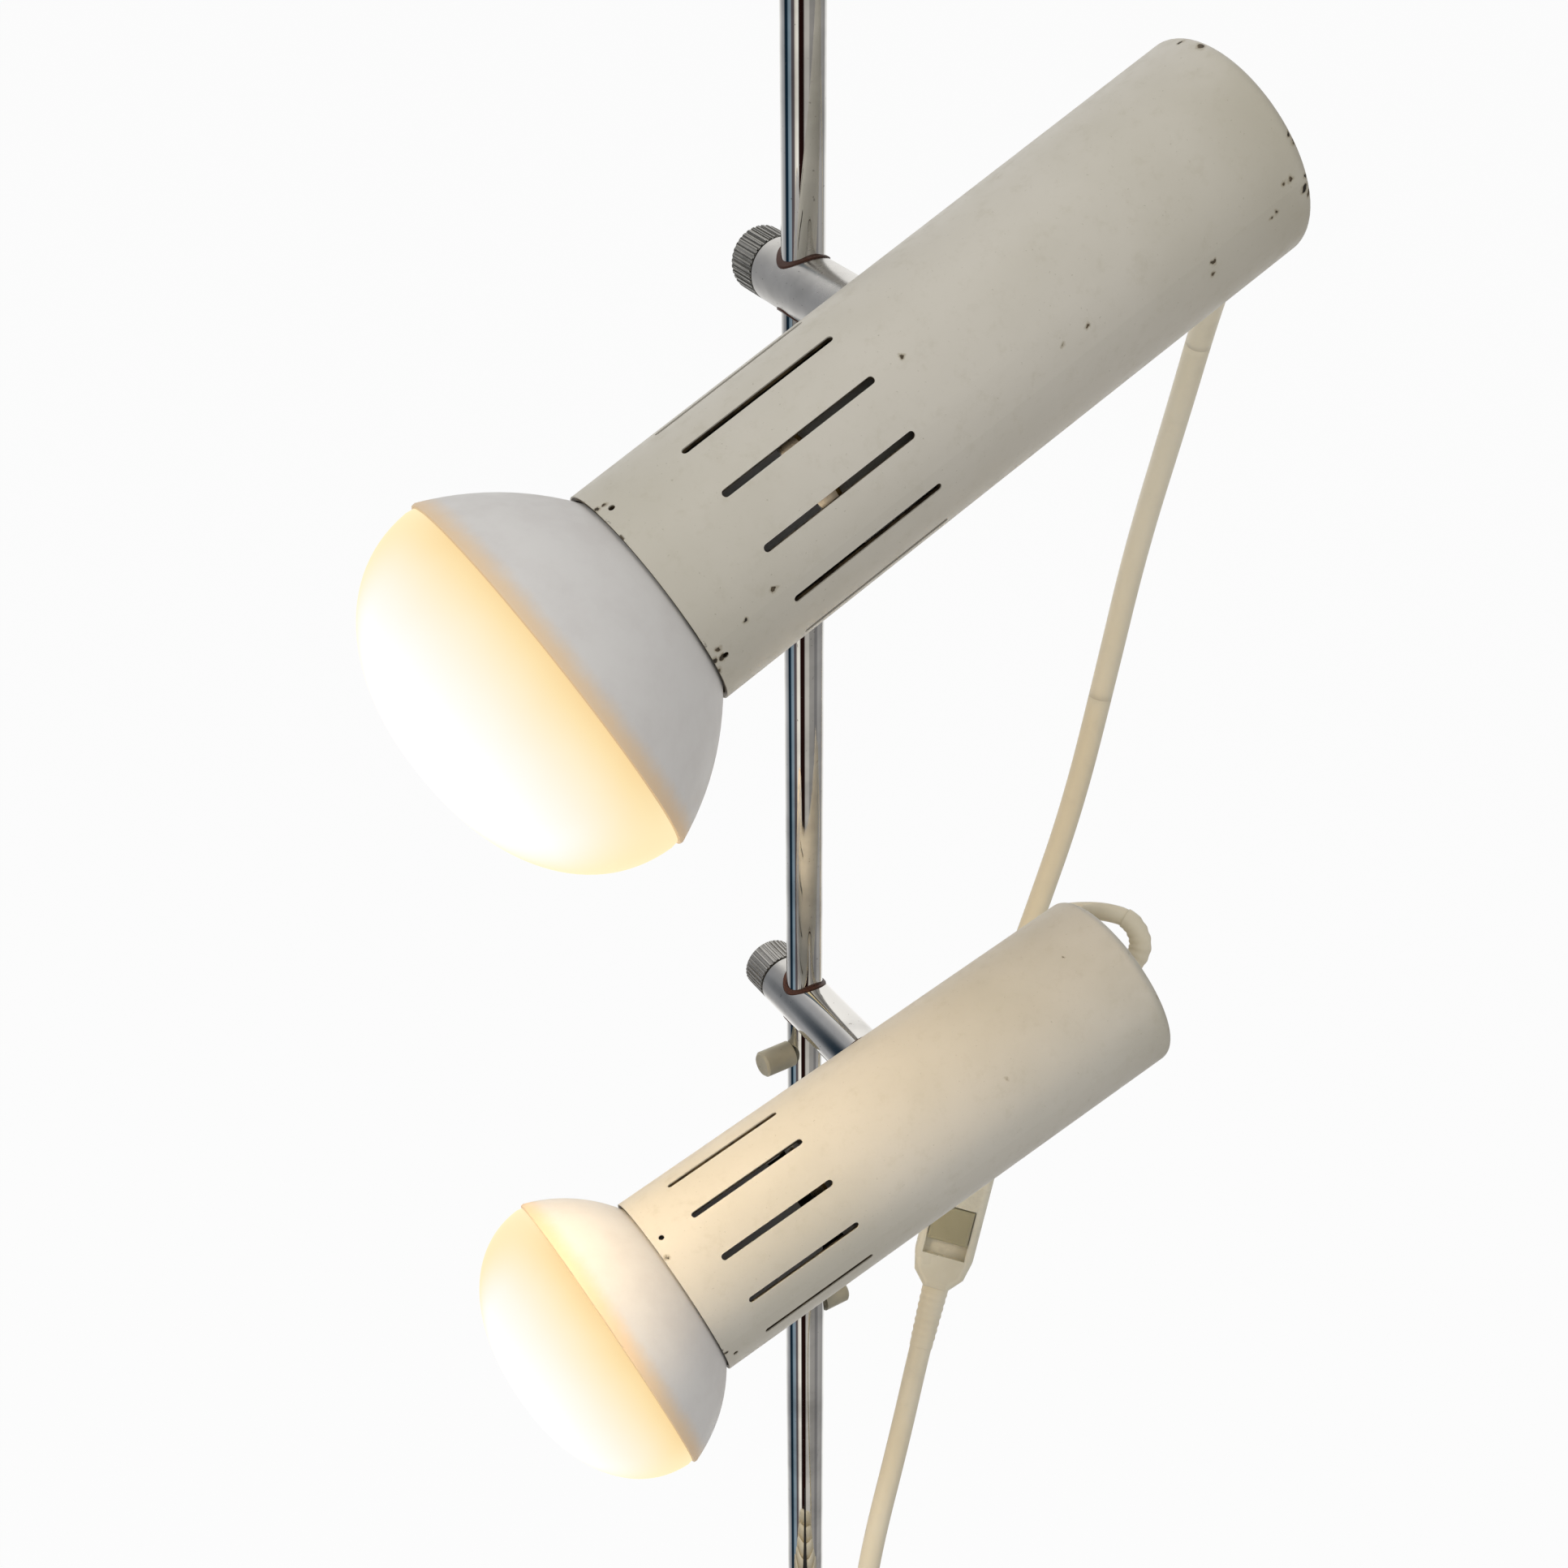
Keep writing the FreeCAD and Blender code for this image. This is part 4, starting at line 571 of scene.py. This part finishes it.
def bulb_back(lamp):
    """Coated back of the bulb, with the lens's light bleeding over its seam."""
    made = Material(lamp.name + "_bulb_coating")
    away = made.vector("SUBTRACT", made.place, tuple(lamp.at(lamp.seam)))
    depth = made.math("MULTIPLY", made.vector("DOT_PRODUCT", away, tuple(lamp.beam)), -1000)
    cloud = made.noise(60, 5, 0.65)
    fray = made.math("SUBTRACT", made.noise(220, 5, 0.7), 0.5)
    ragged = made.math("ADD", depth, made.math("MULTIPLY", fray, 2.4))
    coat = made.mix(made.between(cloud, 0.35, 0.7), linear(232, 229, 225),
                    linear(226, 222, 218))
    bleed = made.between(ragged, -0.5, 5.2, 1.0, 0.0)
    made.set(color=made.mix(bleed, coat, linear(230, 206, 174)),
             rough=made.between(cloud, 0.3, 0.7, 0.42, 0.55), specular=0.35,
             glow=linear(255, 196, 130), glow_strength=made.math("MULTIPLY", bleed, 0.07),
             normal=made.bump(made.noise(1100, 3, 0.6), 0.08, 0.0002))
    return made.made


def dress(material, *names):
    """Gives carried nodes and new pieces their material."""
    for name in names:
        piece = bpy.data.objects[name] if isinstance(name, str) else name
        if not piece.material_slots:
            piece.data.materials.append(material)
        for place in piece.material_slots:
            place.material = material


# Chips of a head's paint: along the beam in mm, bearing round it in degrees, and radius in mm.
UPPER_CHIPS = [
    (14.6, 50.8, 0.45), (-84.6, 97, 0.6), (-85.3, 84, 0.8), (-86.7, 22.8, 0.8), (-87.3, 19.1, 0.9),
    (-87.6, 7, 0.7), (-87.2, 1, 0.9), (-86.4, -8.3, 0.6), (-85.4, -3.9, 0.7), (-82.4, 5.2, 0.5),
    (-80.5, 5.7, 0.35), (-76.7, -4.8, 0.3), (-75, -5, 0.3), (-57.5, -5.1, 0.5), (-57.1, -10.8, 0.45),
    (-23.8, 10.5, 0.35), (-16.8, 10.7, 0.3), (67, 4, 0.7), (76.1, 0.4, 0.35), (84.2, 85.7, 0.5),
    (86.2, 86.5, 0.7), (87.6, 98.2, 0.6), (88, 87.8, 0.5), (84.5, -8.2, 0.7), (84.4, -2.8, 0.6),
    (86.5, -7.1, 0.7), (87.4, -31.4, 0.7), (87, -13.9, 0.8),
]
LOWER_CHIPS = [
    (85.6, 66, 0.45), (86.4, -5, 0.7), (87.1, 3.6, 0.5), (-73, 108.9, 0.5), (-73, 99.5, 0.6),
    (-73, 93.1, 0.5), (-73, 57.6, 0.6), (-73, 40.9, 0.5), (-73, 25.4, 0.7), (-73, 13.3, 0.5),
    (-73, -0.1, 0.6), (-73, -14.4, 0.5), (-56.2, 78.5, 0.25), (-20.9, 38.3, 0.25),
]


def dress_all(cords):
    """Makes every material and gives it to its nodes and pieces."""
    chrome = metal("chrome", (228, 228, 226), 0.02, pits=0.4, grain_strength=0.02)
    satin = metal("satin_chrome", (214, 212, 208), 0.26, pits=0.4, grain=(300, 300, 300),
                  grain_strength=0.12)
    polished = metal("polished_barrel", (226, 224, 220), 0.08, pits=0.4, grain=(60, 60, 60))
    steel = metal("steel", (176, 175, 172), 0.3, pits=0.3, grain=(400, 400, 40),
                  grain_strength=0.15)
    pin = metal("olive_steel", (196, 191, 172), 0.42, pits=0.6, grain=(200, 200, 200),
                grain_strength=0.2, shine=0.5)
    brass = metal("brass", (206, 170, 104), 0.25, pits=0.3, grain=(300, 300, 30),
                  grain_strength=0.15)
    bush = plastic("brown_bush", (78, 46, 32), (56, 32, 22), 0.5)
    cord = plastic("cream_sheath", (240, 231, 208), (232, 220, 192), 0.42, grain=420, bump=0.1,
                   stretch_z=0.3, coat=0.15, dirt=0.12)
    case = plastic("cream_switch", (236, 230, 210), (226, 216, 190), 0.3, coat=0.4)
    slider = plastic("olive_slider", (176, 168, 136), (160, 150, 116), 0.45)
    rubber = plastic("black_rubber", (44, 43, 42), (34, 33, 32), 0.7, bump=0.3)
    white = plastic("white_holder", (214, 210, 200), (198, 192, 178), 0.4)
    dress(chrome, "floor_foot", "outer_tube", "inner_tube", "ceiling_cup", "upper_saddle",
          "lower_saddle")
    dress(satin, "upper_barrel")
    dress(polished, "lower_barrel")
    dress(steel, "plunger", "plunger_spring", "upper_tilt_shaft", "lower_tilt_shaft",
          "upper_shaft_nut", "lower_shaft_nut", "upper_swivel_screw", "lower_swivel_screw",
          "upper_holder_bracket", "lower_holder_bracket")
    dress(knurled("upper_knurl", UPPER, 64, 0.8, (168, 166, 160)), "upper_knob")
    dress(knurled("lower_knurl", LOWER, 64, 0.35, (186, 184, 180)), "lower_knob")
    dress(pin, "stop_pin", "lock_pin")
    dress(bush, "guide_bush", "top_bush", "end_plug", "lock_pad", "upper_grip_band",
          "lower_grip_band", "upper_clamp_bush", "lower_clamp_bush", "upper_clamp_pad",
          "lower_clamp_pad", "upper_friction_washer", "lower_friction_washer")
    dress(cord, "upper_cord_gland", "lower_cord_gland", "plug_body", *cords)
    dress(case, "switch_base", "switch_cover")
    dress(slider, "switch_slider")
    dress(rubber, "floor_pad", "ceiling_pad", "cord_tie")
    dress(brass, "upper_holder_nipple", "lower_holder_nipple", "plug_pins", "upper_bulb_cap",
          "lower_bulb_cap")
    dress(white, "upper_lampholder", "lower_lampholder")
    dress(head_paint(UPPER, UPPER_CHIPS, 0.60), "upper_head_shell")
    dress(head_paint(LOWER, LOWER_CHIPS, 0.64), "lower_head_shell")
    for lamp in (UPPER, LOWER):
        dress(lit_lens(lamp), lamp.name + "_bulb_front")
        dress(bulb_back(lamp), lamp.name + "_bulb_cone")


# ---------------------------------------------------------------- studio

AMBIENT = 0.42
FLOOR_GLOW = 0.95
CARD_STRENGTH = 1.15
GLOW_AHEAD = 70

# Colours of the reflected cards: bearing round the pole in degrees, and the colour on a screen.
CARDS = [
    (-180, (248, 247, 245)), (-150, (244, 243, 241)), (-118, (170, 170, 172)),
    (-104, (150, 152, 156)), (-95, (14, 34, 48)), (-80, (20, 40, 54)), (-74, (120, 140, 154)),
    (-58, (140, 154, 164)), (-52, (84, 78, 82)), (-43, (92, 84, 86)), (-38, (220, 214, 204)),
    (-24, (250, 246, 238)), (-18, (34, 16, 14)), (3, (30, 14, 12)), (9, (186, 182, 176)),
    (28, (192, 188, 182)), (34, (150, 147, 143)), (60, (146, 143, 140)), (66, (118, 116, 116)),
    (80, (124, 122, 122)), (88, (158, 156, 154)), (112, (150, 148, 146)), (122, (136, 134, 134)),
    (140, (236, 235, 233)), (180, (248, 247, 245)),
]


def plain(name, points, faces, material):
    """Mesh that belongs to the studio, not to the lamp."""
    mesh = bpy.data.meshes.new(name)
    mesh.from_pydata(points, [], faces)
    mesh.materials.append(material)
    made = bpy.data.objects.new(name, mesh)
    bpy.context.scene.collection.objects.link(made)
    return made


def seen_directly(tree):
    """1 for rays from the camera, off gloss or through glass, and 0 for the rest."""
    path = tree.nodes.new("ShaderNodeLightPath")
    total = path.outputs["Is Camera Ray"]
    for name in ("Is Glossy Ray", "Is Transmission Ray"):
        adding = tree.nodes.new("ShaderNodeMath")
        adding.operation = "MAXIMUM"
        tree.links.new(total, adding.inputs[0])
        tree.links.new(path.outputs[name], adding.inputs[1])
        total = adding.outputs[0]
    return total


def make_floor():
    """Floor that looks white and is lit and reflects as a pale grey one."""
    material = bpy.data.materials.new("floor")
    material.use_nodes = True
    tree = material.node_tree
    tree.nodes.clear()
    diffuse = tree.nodes.new("ShaderNodeBsdfDiffuse")
    diffuse.inputs["Color"].default_value = (0.86, 0.86, 0.86, 1)
    glow = tree.nodes.new("ShaderNodeEmission")
    glow.inputs["Color"].default_value = (1, 1, 1, 1)
    share = tree.nodes.new("ShaderNodeMath")
    share.operation = "MULTIPLY"
    share.inputs[1].default_value = FLOOR_GLOW
    tree.links.new(seen_directly(tree), share.inputs[0])
    mixed = tree.nodes.new("ShaderNodeMixShader")
    tree.links.new(share.outputs[0], mixed.inputs[0])
    tree.links.new(diffuse.outputs[0], mixed.inputs[1])
    tree.links.new(glow.outputs[0], mixed.inputs[2])
    out = tree.nodes.new("ShaderNodeOutputMaterial")
    tree.links.new(mixed.outputs[0], out.inputs[0])
    reach = 14
    corners = [(-reach, -reach, 0), (reach, -reach, 0), (reach, reach, 0), (-reach, reach, 0)]
    plain("floor", corners, [(0, 1, 2, 3)], material)


def make_world():
    """White surroundings that light the lamp less than they show."""
    world = bpy.data.worlds.new("studio")
    bpy.context.scene.world = world
    world.use_nodes = True
    tree = world.node_tree
    background = tree.nodes["Background"]
    background.inputs["Color"].default_value = (1, 1, 1, 1)
    level = tree.nodes.new("ShaderNodeMapRange")
    tree.links.new(seen_directly(tree), level.inputs["Value"])
    level.inputs["To Min"].default_value = AMBIENT
    level.inputs["To Max"].default_value = 1.0
    tree.links.new(level.outputs[0], background.inputs["Strength"])


def make_cards():
    """Ring of cards that only gloss sees: it gives the plating its dark and light stripes."""
    material = bpy.data.materials.new("cards")
    material.use_nodes = True
    tree = material.node_tree
    tree.nodes.clear()
    place = tree.nodes.new("ShaderNodeTexCoord")
    apart = tree.nodes.new("ShaderNodeSeparateXYZ")
    tree.links.new(place.outputs["Object"], apart.inputs[0])
    turn = tree.nodes.new("ShaderNodeMath")
    turn.operation = "ARCTAN2"
    tree.links.new(apart.outputs["X"], turn.inputs[0])
    opposite = tree.nodes.new("ShaderNodeMath")
    opposite.operation = "MULTIPLY"
    opposite.inputs[1].default_value = -1
    tree.links.new(apart.outputs["Y"], opposite.inputs[0])
    tree.links.new(opposite.outputs[0], turn.inputs[1])
    share = tree.nodes.new("ShaderNodeMapRange")
    share.inputs["From Min"].default_value = -math.pi
    share.inputs["From Max"].default_value = math.pi
    tree.links.new(turn.outputs[0], share.inputs["Value"])
    ramp = tree.nodes.new("ShaderNodeValToRGB")
    tree.links.new(share.outputs[0], ramp.inputs[0])
    elements = ramp.color_ramp.elements
    stops = [((bearing + 180) / 360, linear(*color)) for bearing, color in CARDS]
    elements[0].position, elements[0].color = stops[0]
    elements[1].position, elements[1].color = stops[-1]
    for position, color in stops[1:-1]:
        elements.new(position).color = color
    glow = tree.nodes.new("ShaderNodeEmission")
    glow.inputs["Strength"].default_value = CARD_STRENGTH
    tree.links.new(ramp.outputs[0], glow.inputs["Color"])
    out = tree.nodes.new("ShaderNodeOutputMaterial")
    tree.links.new(glow.outputs[0], out.inputs[0])
    sides, radius, foot, top = 96, 0.45, 0.01, 3.2
    points = []
    for step in range(sides):
        bearing = 2 * math.pi * step / sides
        for height in (foot, top):
            points.append((radius * math.cos(bearing), radius * math.sin(bearing), height))
    count = len(points)
    faces = [(i, (i + 2) % count, (i + 3) % count, i + 1) for i in range(0, count, 2)]
    cards = plain("cards", points, faces, material)
    cards.visible_camera = False
    cards.visible_diffuse = False
    cards.visible_transmission = False
    cards.visible_shadow = False
    cards.visible_volume_scatter = False


def area_light(name, place, target, size, energy):
    """Round soft light that is not seen itself."""
    data = bpy.data.lights.new(name, "AREA")
    data.shape = "DISK"
    data.size = size
    data.energy = energy
    light = bpy.data.objects.new(name, data)
    light.location = place
    light.rotation_euler = (Vector(target) - Vector(place)).to_track_quat("-Z", "Y").to_euler()
    bpy.context.scene.collection.objects.link(light)
    light.visible_camera = False
    light.visible_glossy = False


def bulb_glow(lamp, energy):
    """Warm light in front of a lit bulb."""
    name = lamp.name + "_glow"
    data = bpy.data.lights.new(name, "POINT")
    data.energy = energy
    data.color = (1.0, 0.74, 0.42)
    data.shadow_soft_size = 0.03
    glow = bpy.data.objects.new(name, data)
    glow.location = lamp.at(lamp.seam + GLOW_AHEAD)
    bpy.context.scene.collection.objects.link(glow)
    glow.visible_camera = False
    glow.visible_glossy = False


def make_studio():
    make_floor()
    make_world()
    make_cards()
    area_light("key", (-1.3, -1.4, 3.1), (0, 0, 1.35), 1.6, 26)
    area_light("fill", (1.8, -1.6, 1.9), (0, 0, 1.3), 1.6, 7)
    bulb_glow(UPPER, 0.9)
    bulb_glow(LOWER, 0.4)
    bpy.context.scene.view_settings.view_transform = "Standard"


make_camera()
cords = make_lead(UPPER, UPPER_ROUTE, 89.9, (0.3, 0.62))
cords += make_lead(LOWER, LOWER_ROUTE, 75.5, (0.36, 0.68))
cords += make_mains_lead()
for spotlight in (UPPER, LOWER):
    make_bulb(spotlight)
dress_all(cords)
make_studio()

bpy.context.view_layer.update()
